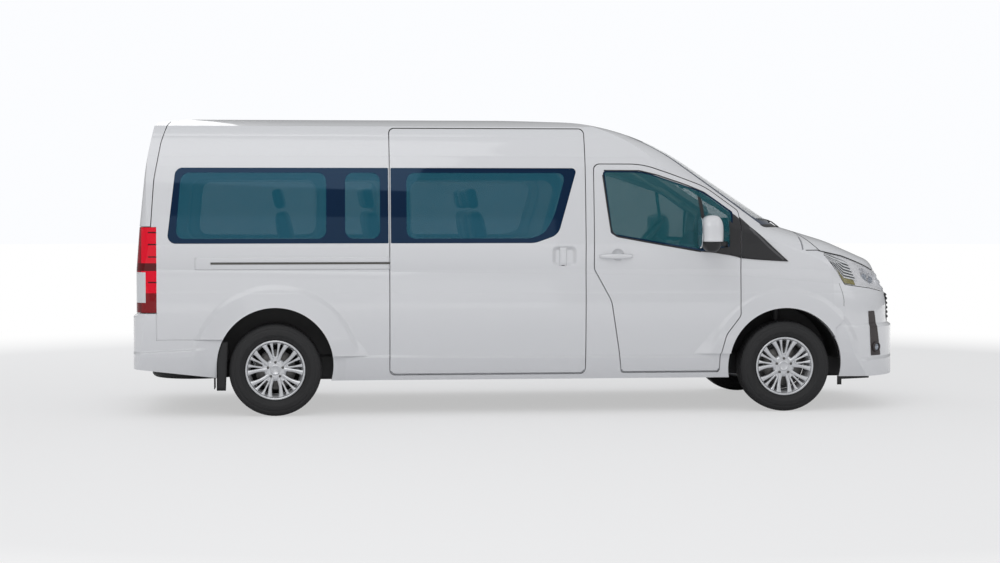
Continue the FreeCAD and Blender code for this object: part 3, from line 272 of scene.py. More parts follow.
# Columns: radius, distance out from the middle, of the outer sidewall from bead to tread edge
sidewall = np.array([(bead_radius, 0.078), (bead_radius, 0.0886), (0.2255, 0.0886), (0.232, 0.0945),
                     (0.246, 0.1065), (0.2495, 0.1068), (0.2505, 0.1092), (0.262, 0.1115), (0.264, 0.1128),
                     (0.272, 0.1133), (0.274, 0.1127), (0.285, tyre_half), (0.298, 0.1133), (0.300, 0.1118),
                     (0.309, 0.1095), (0.311, 0.1105), (0.320, 0.1065), (0.329, 0.1010), (0.336, 0.0950),
                     (0.341, tread_half + 0.001)])
groove_places = (-0.055, -0.019, 0.019, 0.055)


def tyre_grid(steps):
    """A tyre turned about the Y axis. The radius of the tread is the crown less a groove at four places
    and less a shallow cut wherever a slanting wave round the tyre is high."""
    across = np.linspace(-tread_half, tread_half, 45)
    angle = np.linspace(0.0, 2.0 * np.pi, steps, endpoint=False)
    groove = np.max([np.clip(1.0 - (np.abs(across - middle) / 0.0045) ** 4, 0.0, 1.0)
                     for middle in groove_places], 0)
    crown = tyre_radius - 0.0035 * (across / tread_half) ** 2
    cut = np.sin(72.0 * angle[:, None] + 60.0 * np.abs(across)[None, :])
    block = np.clip((cut - 0.62) * 6.0, 0.0, 1.0) * np.clip((np.abs(across) - 0.024) / 0.004, 0.0, 1.0)
    tread = crown[None, :] - 0.008 * groove[None, :] - 0.0045 * block
    near = np.repeat(sidewall[None, :, 0], steps, 0)
    radius = np.hstack([near, tread[:, ::-1], near[:, ::-1]])
    y = np.concatenate([sidewall[:, 1], across[::-1], -sidewall[::-1, 1]])
    return np.stack([radius * np.sin(angle)[:, None], np.repeat(y[None, :], steps, 0),
                     radius * np.cos(angle)[:, None]], -1)


tyre_rubber = finish("tyre_rubber", (0.017, 0.017, 0.018), 0.62, grain=300.0, bump=0.35, shade=0.2)
tyre = tyre_grid(360)
for end, x in axle_places.items():
    for hand, side in (("right", -1.0), ("left", 1.0)):
        middle = np.array([x, side * half_track, axle_height])
        rubber = add_piece(f"tyre_{hand}_{end}", [(tyre + middle, True)], tyre_rubber, f"{hand}_{end}_wheel",
                           "tyre")
        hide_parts(f"{hand}_{end}_tyre")
wear(tyre_rubber, "spare_wheel")


# Wheels. Cast light alloy under silver lacquer: a deep barrel, five pairs of broad spokes in narrow Vs, and
# between them five forked pairs of thin ones. Behind them a cast-iron brake disc on a dark hub.
def turned(profile, middle, steps=96):
    """A profile of (radius, y) turned about the wheel's axis through the middle."""
    angle = np.linspace(0.0, 2.0 * np.pi, steps, endpoint=False)
    radius = profile[:, 0]
    return np.stack([np.outer(np.sin(angle), radius), np.repeat(profile[None, :, 1], steps, 0),
                     np.outer(np.cos(angle), radius)], -1) + middle


def spoke(angle, bend, root, tip, widths, face, steps=14):
    """A spoke along a line that turns from angle + bend at its root to angle at its tip. Its section is a
    low arch of the given widths; the face lies at y = face there and falls back towards the hub."""
    along = np.linspace(0.0, 1.0, steps)
    radius = root + (tip - root) * along
    turn = angle + bend * (1.0 - along)
    half = np.interp(along, (0.0, 0.5, 0.86, 1.0), widths) / 2.0
    front = np.interp(radius, (0.05, 0.11, 0.19, 0.206), face)
    around = np.array([(-1.0, 0.022), (-1.0, 0.006), (-0.72, 0.0005), (0.0, 0.0), (0.72, 0.0005),
                       (1.0, 0.006), (1.0, 0.022)])
    side = half[:, None] * around[None, :, 0]
    deep = front[:, None] + around[None, :, 1]
    x = radius[:, None] * np.sin(turn)[:, None] + side * np.cos(turn)[:, None]
    z = radius[:, None] * np.cos(turn)[:, None] - side * np.sin(turn)[:, None]
    return np.stack([x, deep, z], -1)


def wheel_face():
    """The grids of one wheel about the origin, its outer side towards -Y."""
    barrel = np.array([(0.2035, -0.0885), (0.2215, -0.0885), (0.2225, -0.0935), (0.2215, -0.0960),
                       (0.2130, -0.0965), (0.2085, -0.0930), (0.2050, -0.0850), (0.1990, -0.0760),
                       (0.1960, -0.0500), (0.1890, -0.0350), (0.1890, 0.0880), (0.1960, 0.0965),
                       (0.2215, 0.0965), (0.2215, 0.0885), (0.2035, 0.0885), (0.2035, -0.0885)])
    boss = np.array([(0.0, -0.0640), (0.030, -0.0640), (0.0315, -0.0655), (0.0345, -0.0655),
                     (0.0360, -0.0620), (0.046, -0.0640), (0.060, -0.0640), (0.074, -0.0600),
                     (0.082, -0.0540), (0.086, -0.0440), (0.083, -0.0300), (0.060, -0.0300)])
    grids = [(turned(barrel, 0.0, 120), True), (turned(boss, 0.0, 80), True)]
    face = (-0.0640, -0.0705, -0.0860, -0.0880)
    for i in range(5):
        wedge = np.radians(72.0 * i + 180.0)
        for sign in (-1.0, 1.0):
            broad = spoke(wedge + sign * np.radians(11.5), sign * np.radians(9.0), 0.062, 0.2065,
                          (0.030, 0.0240, 0.0330, 0.0440), face)
            thin = spoke(wedge + sign * np.radians(27.5), sign * np.radians(1.0), 0.095, 0.2065,
                         (0.0150, 0.0130, 0.0220, 0.0350), face)
            grids += [(broad, False), (thin, False)]
        fork = np.radians(72.0 * i + 216.0) + np.radians(np.linspace(-9.5, 9.5, 15))
        bow = 0.094 + 0.006 * np.linspace(-1.0, 1.0, 15) ** 2
        ring = np.array([(-0.0065, 0.020), (-0.0065, 0.004), (-0.0045, 0.0), (0.0045, 0.0), (0.0065, 0.004),
                         (0.0065, 0.020)])
        radius = bow[:, None] + ring[None, :, 0]
        grids.append((np.stack([radius * np.sin(fork)[:, None], np.repeat(ring[None, :, 1] - 0.0705, 15, 0),
                                radius * np.cos(fork)[:, None]], -1), False))
        web = np.stack([np.linspace(0.05, 0.098, 8)] * 9, 1)
        fan = np.radians(72.0 * i + 216.0) + np.radians(np.linspace(-22.0, 22.0, 9)) * np.ones((8, 1))
        web = np.stack([web * np.sin(fan), np.full(web.shape, -0.0625), web * np.cos(fan)], -1)
        grids.append((web, False))
    return grids


silver = finish("silver_lacquer", (0.74, 0.75, 0.77), 0.32, metallic=0.55, grain=900.0, shade=0.05,
                Coat_Weight=0.6, Coat_Roughness=0.08)
iron = finish("brake_iron", (0.17, 0.165, 0.16), 0.45, metallic=0.9, shade=0.3)
face_grids = wheel_face()
disc_profile = np.array([(0.0, -0.030), (0.070, -0.030), (0.072, -0.012), (0.092, -0.010), (0.150, -0.010),
                         (0.152, -0.004), (0.152, 0.006), (0.060, 0.008), (0.0, 0.008)])
nut_profile = np.array([(0.0, -0.074), (0.007, -0.074), (0.0095, -0.071), (0.0095, -0.060)])
for end, x in axle_places.items():
    for hand, side in (("right", -1.0), ("left", 1.0)):
        middle = np.array([x, side * half_track, axle_height])
        turn = np.array([1.0, -side, 1.0])
        body = f"{hand}_{end}_wheel"
        placed = [(grid * turn + middle, wrapped) for grid, wrapped in face_grids]
        alloy = add_piece(f"wheel_{hand}_{end}", placed, silver, body, "alloy")
        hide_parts(f"{hand}_{end}_rim")
        nuts = [(turned(nut_profile, 0.0, 16) + [0.057 * math.sin(a), 0.0, 0.057 * math.cos(a)], True)
                for a in np.radians(72.0 * np.arange(5))]
        hub = [(turned(disc_profile, 0.0, 80), True)] + nuts
        placed = [(grid * turn + middle, wrapped) for grid, wrapped in hub]
        add_piece(f"brake_disc_{hand}_{end}", placed, iron, body, "cast_iron")


# Body panels. Pressed steel, white over primer with a clear coat, smooth as glass from near and faintly
# rippled in long reflections. Inside, the same walls are lined with pale grey moulded trim.
dish_radius, dish_depth = 0.046, 0.020


def pressings(tree, x, y, z):
    """How far the pressed creases, dishes and grooves stand out of the plain skin, in metres, and a mask of
    the rail slot, where the paint is darkened as painted shade in the open slot. Lengths run in the side
    view; each term below is one pressing."""
    def line(slope, x0, z0):
        return calc(tree, "SUBTRACT", z, calc(tree, "MULTIPLY_ADD", x, slope, z0 - slope * x0))

    def valley(distance, depth, reach):
        fall = calc(tree, "EXPONENT", calc(tree, "MULTIPLY", calc(tree, "ABSOLUTE", distance), -1.0 / reach))
        return calc(tree, "MULTIPLY", fall, -depth)

    def ramp(value, low, high, start, end):
        return add_node(tree, "ShaderNodeMapRange", {0: value, 1: low, 2: high, 3: start, 4: end},
                        interpolation_type="SMOOTHSTEP").outputs[0]

    def squared(x0, z0):
        """The squared distance from a point of the side view."""
        run = calc(tree, "SUBTRACT", x, x0)
        rise = calc(tree, "SUBTRACT", z, z0)
        return calc(tree, "ADD", calc(tree, "MULTIPLY", run, run), calc(tree, "MULTIPLY", rise, rise))

    def framed(x0, x1, z0, z1, radius):
        """The distance outside a rectangle with rounded corners, less than zero inside it."""
        def beyond(value, low, high):
            offset = calc(tree, "ABSOLUTE", calc(tree, "SUBTRACT", value, (low + high) / 2))
            return calc(tree, "SUBTRACT", offset, (high - low) / 2 - radius)
        wide = beyond(x, x0, x1)
        tall = beyond(z, z0, z1)
        corner = [calc(tree, "MAXIMUM", part, 0.0) for part in (wide, tall)]
        squares = [calc(tree, "MULTIPLY", part, part) for part in corner]
        outer = calc(tree, "SQRT", calc(tree, "ADD", *squares))
        inner = calc(tree, "MINIMUM", calc(tree, "MAXIMUM", wide, tall), 0.0)
        return calc(tree, "SUBTRACT", calc(tree, "ADD", outer, inner), radius)

    right = calc(tree, "LESS_THAN", y, 0.0)
    belt = calc(tree, "MAXIMUM", line(-0.01457, -2.461, 1.095), line(-0.08366, 1.588, 1.036))
    low_end = calc(tree, "MULTIPLY", ramp(x, -1.46, -1.38, 0.0, 1.0), ramp(x, 1.38, 1.46, 1.0, 0.0))
    step = calc(tree, "MULTIPLY", ramp(line(-0.00744, -1.411, 0.459), -0.028, 0.0, 0.009, 0.0), low_end)
    rear_ledge = calc(tree, "MULTIPLY", ramp(line(0.0515, -2.935, 0.489), -0.020, 0.004, 0.014, 0.0),
                      ramp(x, -2.52, -2.40, 1.0, 0.0))
    front_ledge = calc(tree, "MULTIPLY", ramp(line(0.03, 2.515, 0.400), -0.024, 0.004, 0.014, 0.0),
                       ramp(x, 2.50, 2.62, 0.0, 1.0))
    terms = [valley(belt, 0.0125, 0.075), valley(line(-0.0043, -2.461, 0.925), 0.0022, 0.022), step,
             rear_ledge, front_ledge, valley(line(0.0, 0.0, 2.088), 0.0040, 0.030),
             valley(line(0.0, 0.0, 1.938), -0.0022, 0.016)]
    for end, reach in (("front", 0.606), ("rear", 0.642)):
        radius = calc(tree, "SQRT", squared(axle_places[end], axle_height))
        terms.append(calc(tree, "MULTIPLY", ramp(radius, reach - 0.045, reach, 0.010, 0.0),
                          ramp(z, 0.42, 0.60, 0.0, 1.0)))
    dish = calc(tree, "MULTIPLY_ADD", squared(0.658, 1.199), -1.0 / dish_radius ** 2, 1.0)
    terms.append(calc(tree, "MULTIPLY", calc(tree, "MAXIMUM", dish, 0.0), -dish_depth))
    bowl = framed(0.157, 0.346, 1.115, 1.266, 0.045)
    recess = calc(tree, "MULTIPLY", ramp(bowl, -0.036, 0.004, -0.020, 0.0), right)
    slot = framed(-2.384, -1.060, 1.1345, 1.1465, 0.004)
    groove = calc(tree, "MULTIPLY", ramp(slot, -0.002, 0.005, -0.010, 0.0), right)
    bumper_edge = calc(tree, "ABSOLUTE", calc(tree, "MINIMUM", calc(tree, "ADD", x, 2.781),
                                              calc(tree, "SUBTRACT", z, 0.575)))
    near_bumper = calc(tree, "MULTIPLY", calc(tree, "LESS_THAN", x, -2.30), calc(tree, "LESS_THAN", z, 0.772))
    seam = calc(tree, "MULTIPLY", ramp(bumper_edge, 0.0, 0.005, -0.0035, 0.0), near_bumper)
    terms += [recess, groove, seam]
    height = terms[0]
    for term in terms[1:]:
        height = calc(tree, "ADD", height, term)
    return height, calc(tree, "MULTIPLY", ramp(slot, -0.004, 0.002, 1.0, 0.0), right)


def painted(name, colour, lining):
    """Clear-coated paint on faces that look out of the body and matt lining on those that look in.
    A face looks in where its normal points towards the middle plane, or down under the roof."""
    material = finish(name, colour, 0.32, grain=6.0, shade=0.012, Coat_Weight=1.0, Coat_Roughness=0.04)
    tree = material.node_tree
    outside = tree.nodes["Principled BSDF"]
    place = add_node(tree, "ShaderNodeTexCoord").outputs["Object"]
    where = add_node(tree, "ShaderNodeSeparateXYZ", {0: place})
    height, slot_shade = pressings(tree, *where.outputs)
    relief = add_node(tree, "ShaderNodeBump", {"Height": height, "Strength": 1.0, "Distance": 1.0})
    tree.links.new(relief.outputs[0], outside.inputs["Normal"])
    ripple = add_node(tree, "ShaderNodeTexNoise", {"Vector": place, "Scale": 2.2, "Detail": 1.0}).outputs[0]
    waves = add_node(tree, "ShaderNodeBump", {"Height": ripple, "Strength": 0.12, "Distance": 0.004,
                                              "Normal": relief.outputs[0]})
    tree.links.new(waves.outputs[0], outside.inputs["Coat Normal"])
    # Where the rail slot lies, the base colour is darkened: painted shade in the open slot.
    base = outside.inputs["Base Color"].links[0].from_socket
    slot_shaded_base = add_node(tree, "ShaderNodeMix", {0: slot_shade, 6: base, 7: (0.10, 0.095, 0.085, 1.0)},
                        data_type="RGBA")
    tree.links.new(slot_shaded_base.outputs[2], outside.inputs["Base Color"])
    inside = add_node(tree, "ShaderNodeBsdfPrincipled", {"Base Color": (*lining, 1.0), "Roughness": 0.75})
    pores = add_node(tree, "ShaderNodeTexNoise", {"Vector": place, "Scale": 700.0}).outputs[0]
    skin = add_node(tree, "ShaderNodeBump", {"Height": pores, "Strength": 0.3, "Distance": 0.0004})
    tree.links.new(skin.outputs[0], inside.inputs["Normal"])
    normal = add_node(tree, "ShaderNodeNewGeometry").outputs["Normal"]
    facing = add_node(tree, "ShaderNodeSeparateXYZ", {0: normal})
    sideways = calc(tree, "MULTIPLY", facing.outputs[1], calc(tree, "SIGN", where.outputs[1]))
    inward = calc(tree, "LESS_THAN", sideways, -0.25)
    high = calc(tree, "GREATER_THAN", where.outputs[2], 1.5)
    under = calc(tree, "MULTIPLY", calc(tree, "LESS_THAN", facing.outputs[2], -0.5), high)
    lined = calc(tree, "MAXIMUM", inward, under)
    mixed = add_node(tree, "ShaderNodeMixShader", {0: lined, 1: outside.outputs[0], 2: inside.outputs[0]})
    tree.links.new(mixed.outputs[0], tree.nodes["Material Output"].inputs[0])
    return material


paint_white = (0.785, 0.793, 0.815)
body_white = painted("body_white", paint_white, (0.46, 0.45, 0.43))
wear(body_white, "right_side", "left_side", "roof", "rear_portal", "front_fenders", "sliding_door",
     "right_door", "left_door", "tailgate", "front_bumper", "rear_bumper")
plain_white = finish("plain_white", paint_white, 0.32, grain=6.0, shade=0.012, Coat_Weight=1.0,
                     Coat_Roughness=0.04)
wear(plain_white, "bonnet")
frame_black = finish("screen_black", (0.012, 0.012, 0.013), 0.35, grain=200.0, bump=0.1)
wear(frame_black, "screen_frame")


# Side windows. Tempered glass, tinted blue-green, each with a wide black ceramic border fired on round
# the clear panes. The glass lies flush in the side, bedded on black sealant.
def pane_mask(tree, a, b, corners, soft, radius):
    """1 inside a convex pane whose corners (a, b) go clockwise, 0 outside. It is the largest of the signed
    distances to its edges, rounded off by soft metres. With a radius r the corners are round arcs:
    distance = sqrt(sum of max(d + r, 0) squared) - r + min(largest d + r, 0). The result is a sharp step."""
    worst = None
    outer = None
    for (a0, b0), (a1, b1) in zip(corners, corners[1:] + corners[:1]):
        run = math.hypot(a1 - a0, b1 - b0)
        na, nb = -(b1 - b0) / run, (a1 - a0) / run
        part = calc(tree, "MULTIPLY_ADD", b, nb, -(na * a0 + nb * b0))
        distance = calc(tree, "MULTIPLY_ADD", a, na, part)
        worst = distance if worst is None else calc(tree, "SMOOTH_MAX", worst, distance, soft)
        beyond = calc(tree, "MAXIMUM", calc(tree, "ADD", distance, radius), 0.0)
        square = calc(tree, "MULTIPLY", beyond, beyond)
        outer = square if outer is None else calc(tree, "ADD", outer, square)
    if radius:
        inner = calc(tree, "MINIMUM", calc(tree, "ADD", worst, radius), 0.0)
        worst = calc(tree, "ADD", calc(tree, "SUBTRACT", calc(tree, "SQRT", outer), radius), inner)
    return add_node(tree, "ShaderNodeMapRange", {0: worst, 1: -0.0015, 2: 0.0015, 3: 1.0, 4: 0.0}).outputs[0]


def tinted_glass(name, tint, clear, panes, across="x", soft=0.0, radius=0.0):
    """Glass that lets clear of the light through inside its panes and is black printed elsewhere.
    across names the coordinate that runs along the pane; the other one is the height."""
    material = bpy.data.materials.new(name)
    material.use_nodes = True
    tree = material.node_tree
    shader = tree.nodes["Principled BSDF"]
    place = add_node(tree, "ShaderNodeTexCoord").outputs["Object"]
    where = add_node(tree, "ShaderNodeSeparateXYZ", {0: place})
    a = where.outputs["xyz".index(across)]
    if across == "y":
        a = calc(tree, "ABSOLUTE", a)
    mask = None
    for corners in panes:
        one = pane_mask(tree, a, where.outputs[2], corners, soft, radius)
        mask = one if mask is None else calc(tree, "MAXIMUM", mask, one)
    dust = add_node(tree, "ShaderNodeTexNoise", {"Vector": place, "Scale": 9.0, "Detail": 6.0}).outputs[0]
    film = calc(tree, "MULTIPLY_ADD", dust, 0.05, 0.0)
    opening = calc(tree, "SUBTRACT", 1.0, clear)
    solid = calc(tree, "MULTIPLY_ADD", mask, calc(tree, "SUBTRACT", opening, 1.0), 1.0)
    alpha = calc(tree, "MINIMUM", calc(tree, "ADD", solid, film), 1.0)
    colour = add_node(tree, "ShaderNodeMix", {0: mask, 6: (0.001, 0.012, 0.042, 1.0), 7: (*tint, 1.0)},
                      data_type="RGBA")
    tree.links.new(colour.outputs[2], shader.inputs["Base Color"])
    tree.links.new(alpha, shader.inputs["Alpha"])
    shader.inputs["Roughness"].default_value = 0.03
    shader.inputs["IOR"].default_value = 1.50
    shader.inputs["Specular Tint"].default_value = (0.45, 0.70, 1.0, 1.0)
    return material


blue_tint = (0.012, 0.125, 0.185)
side_clear = 0.43
slider_pane = [(-0.934, 1.813), (0.268, 1.813), (0.155, 1.415), (0.060, 1.323), (-0.934, 1.323)]
rear_pane = [(-2.600, 1.813), (-1.532, 1.813), (-1.532, 1.323), (-2.640, 1.323)]
small_pane = [(-1.391, 1.813), (-1.132, 1.813), (-1.132, 1.323), (-1.391, 1.323)]
side_glass = tinted_glass("side_glass", blue_tint, side_clear, (slider_pane, rear_pane, small_pane),
                          radius=0.065)
wear(side_glass, "side_glass", "sliding_door_glass")
door_pane = [(0.560, 1.820), (0.846, 1.818), (1.060, 1.757), (1.322, 1.659), (1.524, 1.514), (1.524, 1.282),
             (1.292, 1.240), (0.617, 1.357)]
door_glass = tinted_glass("door_glass", (0.020, 0.130, 0.155), 0.50, (door_pane,), soft=0.03)
wear(door_glass, "right_door_glass", "left_door_glass")

# Windscreen and tailgate glass. Laminated in front, heated behind, with the same black border; the
# border is widest at the foot, where it hides the wipers' pivots.
screen_pane = [(-1.0, 2.065), (0.640, 2.065), (0.765, 1.452), (-1.0, 1.452)]
screen_glass = tinted_glass("windscreen_glass", (0.07, 0.10, 0.10), 0.80, (screen_pane,), across="y",
                            radius=0.05)
wear(screen_glass, "windscreen")
gate_pane = [(-1.0, 1.905), (0.622, 1.905), (0.700, 1.505), (-1.0, 1.505)]
gate_glass = tinted_glass("tailgate_glass", blue_tint, side_clear, (gate_pane,), across="y", radius=0.07)
wear(gate_glass, "tailgate_glass")


# Black corner trim. One moulded panel fills the corner between door glass, pillar and wing, clipped on in two
# parts that meet at the door's edge; a raised lip runs down the wing's part, painted a paler grey as a
# highlight of the sheen along it. The lines and functions below give the body's outer form, on which this and
# the other outer trim lies.
# Columns: distance in from the widest point, height, bulge of the arc up to the next row
side_rows = np.array([(0.060, 0.262, 0.004), (0.016, 0.448, 0.003), (0.0, 0.800, 0.001), (0.002, 0.925, 0.0),
                      (0.011, 1.088, 0.0), (0.004, 1.280, 0.0065), (0.0694, 1.862, 0.001),
                      (0.092, 1.942, 0.002), (0.148, 2.090, 0.008), (0.218, 2.165, 0.0)])
half_body = 0.960
# Columns: x, z down the middle of the front
front_rows = np.array([(0.849, 2.190), (2.025, 1.409), (2.420, 1.290), (2.775, 1.135), (2.9175, 0.860),
                       (2.9255, 0.660), (2.9575, 0.640), (2.9575, 0.150)])
bow_radius = 2.072
bow_half = 0.550


def setback(y):
    """How far the front lies behind its middle at a distance y to the side: a wide arc, then a corner arc."""
    turn = math.asin(bow_half / bow_radius)
    corner = (half_body - bow_half) / (1.0 - math.sin(turn))
    start = bow_radius * (1.0 - math.cos(turn))
    wide = bow_radius - np.sqrt(bow_radius ** 2 - np.minimum(y, bow_half) ** 2)
    rise = np.clip(math.sin(turn) + (y - bow_half) / corner, 0.0, 1.0)
    return np.where(y < bow_half, wide, start + corner * (math.cos(turn) - np.sqrt(1.0 - rise ** 2)))


def front_x(y, z):
    """The front surface: the middle line at that height, less the setback."""
    return np.interp(-z, -front_rows[:, 1], front_rows[:, 0]) - setback(np.abs(y))


def side_y(x, z):
    """The half width of the body: the section at that height, and less where the front bends round."""
    step = np.interp(z, side_rows[:, 1], side_rows[:, 0])
    row = np.clip(np.searchsorted(side_rows[:, 1], z) - 1, 0, len(side_rows) - 2)
    share = (z - side_rows[row, 1]) / (side_rows[row + 1, 1] - side_rows[row, 1])
    flank = half_body - step + 4.0 * side_rows[row, 2] * np.clip(share * (1.0 - share), 0.0, 1.0)
    tries = np.linspace(0.5, half_body, 400)
    lost = np.interp(-z, -front_rows[:, 1], front_rows[:, 0]) - x
    corner = np.interp(lost, setback(tries), tries)
    return np.minimum(flank, corner)


def walked(points, count):
    """Points along a line, the same number of them on each of its runs."""
    line = np.array(points)
    along = np.linspace(0.0, 1.0, count)
    return np.stack([np.interp(along, np.linspace(0, 1, len(line)), one) for one in line.T], -1)


def draped(top, bottom, rise, columns=48, rows=16):
    """A grid between two lines of (x, z) in the side view, laid on the body's side and lifted by rise."""
    across = np.linspace(0.0, 1.0, rows)[None, :, None]
    flat = walked(top, columns)[:, None, :] * (1.0 - across) + walked(bottom, columns)[:, None, :] * across
    x, z = flat[..., 0], flat[..., 1]
    return np.stack([x, -side_y(x, z) - rise, z], -1)


def strip(points, width, rise, rows=4):
    """A narrow ribbon on the body's side along points (x, z) of the side view, its width square to them."""
    line = np.array(points)
    reach = np.concatenate([[0.0], np.cumsum(np.linalg.norm(np.diff(line, axis=0), axis=1))])
    steps = np.linspace(0.0, reach[-1], max(int(reach[-1] / 0.02), 4))
    dense = np.stack([np.interp(steps, reach, line[:, i]) for i in (0, 1)], -1)
    run = np.gradient(dense, axis=0)
    run /= np.linalg.norm(run, axis=1)[:, None]
    square = np.stack([-run[:, 1], run[:, 0]], -1)
    across = np.linspace(-0.5, 0.5, rows)[None, :, None] * width
    flat = dense[:, None, :] + square[:, None, :] * across
    x, z = flat[..., 0], flat[..., 1]
    crown = rise * (1.0 - 0.5 * (2.0 * np.linspace(-0.5, 0.5, rows)[None, :]) ** 2)
    return np.stack([x, -side_y(x, z) - crown, z], -1)


def on_both_sides(name, grids, material, bodies, slot, replaced=(), **options):
    """A right-hand piece and its mirror image on the left, each on its own body."""
    for hand, turn in (("right", 1.0), ("left", -1.0)):
        placed = [(grid * [1.0, turn, 1.0], wrapped) for grid, wrapped in grids]
        extra = dict(options)
        if options.get("outward") is not None:
            extra["outward"] = np.array(options["outward"]) * [1.0, turn, 1.0]
        made = add_piece(f"{name}_{hand}", placed, material, bodies[hand], slot, **extra)
        for node in replaced:
            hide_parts(f"{hand}_{node}")


doors = {"right": "right_door", "left": "left_door"}
roots = {"right": "root", "left": "root"}
trim_black = finish("corner_trim", (0.020, 0.020, 0.022), 0.42, grain=600.0, bump=0.25)
gloss_black = finish("gloss_trim", (0.008, 0.008, 0.009), 0.12, grain=40.0, Coat_Weight=0.6)
trim_out = (0.0, -1.0, 0.0)
trim_rise = 0.008
wing_trim = draped([(1.604, 1.480), (1.700, 1.392), (1.830, 1.268), (1.962, 1.148)],
                   [(1.604, 1.170), (1.700, 1.160), (1.830, 1.151), (1.962, 1.144)], trim_rise)
on_both_sides("wing_trim", [(wing_trim, False)], trim_black, roots, "black_trim", outward=trim_out,
              thickness=trim_rise)
trim_edge = strip([(1.672, 1.398), (1.812, 1.256), (1.926, 1.160)], 0.030, 0.0095)
door_trim = draped([(1.512, 1.524), (1.540, 1.512), (1.570, 1.492), (1.5955, 1.470)],
                   [(1.512, 1.192), (1.540, 1.186), (1.570, 1.179), (1.5955, 1.171)], trim_rise)
belt_wedge = draped([(1.290, 1.2215), (1.400, 1.2395), (1.480, 1.2525), (1.512, 1.258)],
                    [(1.290, 1.2205), (1.400, 1.2100), (1.480, 1.1970), (1.512, 1.192)], trim_rise)
# The lip stands a little proud of the trim; its paler grey is a painted highlight of the sheen along it.
lip_highlight_grey = finish("trim_edge", (0.085, 0.085, 0.090), 0.38, grain=600.0, bump=0.2)
on_both_sides("wing_trim_edge", [(trim_edge, False)], lip_highlight_grey, roots, "black_trim", outward=trim_out,
              thickness=0.003)
on_both_sides("door_trim", [(door_trim, False), (belt_wedge, False)], trim_black, doors, "black_trim",
              outward=trim_out, thickness=trim_rise)


# Door glass division bar and seals. A black channel splits the front door glass, and a rubber lip runs
# round each door glass between it and the painted door.
bar = strip([(1.274, 1.686), (1.306, 1.500), (1.318, 1.248)], 0.026, 0.0025)
lip = strip([(0.549, 1.800), (0.580, 1.560), (0.604, 1.395), (0.622, 1.358), (0.650, 1.337), (0.900, 1.291),
             (1.292, 1.222)],
            0.012, 0.003)
brow = strip([(0.556, 1.833), (0.830, 1.832), (0.960, 1.800), (1.200, 1.720), (1.330, 1.670), (1.534, 1.524)],
             0.009, 0.003)
on_both_sides("glass_seals", [(bar, False), (lip, False), (brow, False)], trim_black, doors, "black_trim",
              outward=trim_out, thickness=0.002)

# Bumper seam. The front bumper's painted skin meets the wing in a short open joint below the headlamp,
# seen as a thin grey line.
seam_grey = finish("seam_grey", (0.22, 0.22, 0.225), 0.6, grain=40.0)
wing_seam = strip([(2.362, 0.975), (2.388, 0.905), (2.400, 0.850), (2.399, 0.800)], 0.0035, 0.0008)
on_both_sides("wing_seam", [(wing_seam, False)], seam_grey, roots, "black_trim", outward=trim_out,
              thickness=0.001)

# Sliding door rail. A long painted cover lies on the side behind the door, with the slot in it along which
# the door's middle roller runs. The slot's dark colour is painted shade in its open depth.
rail_cover = draped([(-2.501, 1.187), (-1.062, 1.187)], [(-2.501, 1.094), (-1.062, 1.094)], 0.0020, 60, 12)
add_piece("rail_cover", [(rail_cover, False)], body_white, "root", "body_paint", outward=trim_out,
          thickness=0.0016)
# The dark strip laid over the slot is painted shade in the open slot.
rail_slot = draped([(-2.384, 1.1465), (-1.062, 1.1465)], [(-2.384, 1.1345), (-1.062, 1.1345)], 0.0024, 60, 4)
slot_shade_finish = finish("rail_slot", (0.10, 0.095, 0.085), 0.6, grain=40.0)
add_piece("rail_slot", [(rail_slot, False)], slot_shade_finish, "root", "black_trim", outward=trim_out,
          thickness=0.0010)


# Front lamps. A clear hard-coated lens over a bright metallised housing: thin fins in the rear corner,
# two deep round bowls towards the front, an amber marker at the foot, all behind one black seal.
lens_clear = bpy.data.materials.new("lamp_lens")
lens_clear.use_nodes = True
tree = lens_clear.node_tree
shader = tree.nodes["Principled BSDF"]
place = add_node(tree, "ShaderNodeTexCoord").outputs["Object"]
haze = add_node(tree, "ShaderNodeTexNoise", {"Vector": place, "Scale": 14.0, "Detail": 3.0}).outputs[0]
shader.inputs["Base Color"].default_value = (0.55, 0.57, 0.60, 1.0)
shader.inputs["Roughness"].default_value = 0.03
tree.links.new(calc(tree, "MULTIPLY_ADD", haze, 0.05, 0.08), shader.inputs["Alpha"])
wear(lens_clear, "headlamps")

# Columns: x, z of the lamp's upper and lower edges in the side view
lamp_top = np.array([(2.200, 1.226), (2.226, 1.217), (2.412, 1.178), (2.606, 1.102), (2.700, 1.060),
                     (3.000, 0.997)])
lamp_foot = np.array([(2.226, 1.212), (2.322, 1.095), (2.407, 0.966), (2.627, 0.935), (2.760, 0.905),
                      (3.000, 0.897)])
corner_radius = (half_body - bow_half) / (1.0 - bow_half / bow_radius)


def lamp_point(turn, share, depth):
    """A point behind the lens: turn is the angle round the front corner, share runs from the lamp's foot
    to its top, and depth is measured square to the corner's arc. Height and x are found by turns, because
    the edges' heights hang on x and the skin's x on the height."""
    start = bow_half / bow_radius
    y = bow_half + corner_radius * (np.sin(turn) - start)
    z = np.full(turn.shape, 1.05)
    for _ in range(60):
        x = front_x(y, z)
        top = np.interp(x, lamp_top[:, 0], lamp_top[:, 1])
        foot = np.interp(x, lamp_foot[:, 0], lamp_foot[:, 1])
        z = 0.6 * z + 0.4 * (foot + (top - foot) * share)
    return np.stack([x - depth * np.cos(turn), -(y - depth * np.sin(turn)), z], -1)


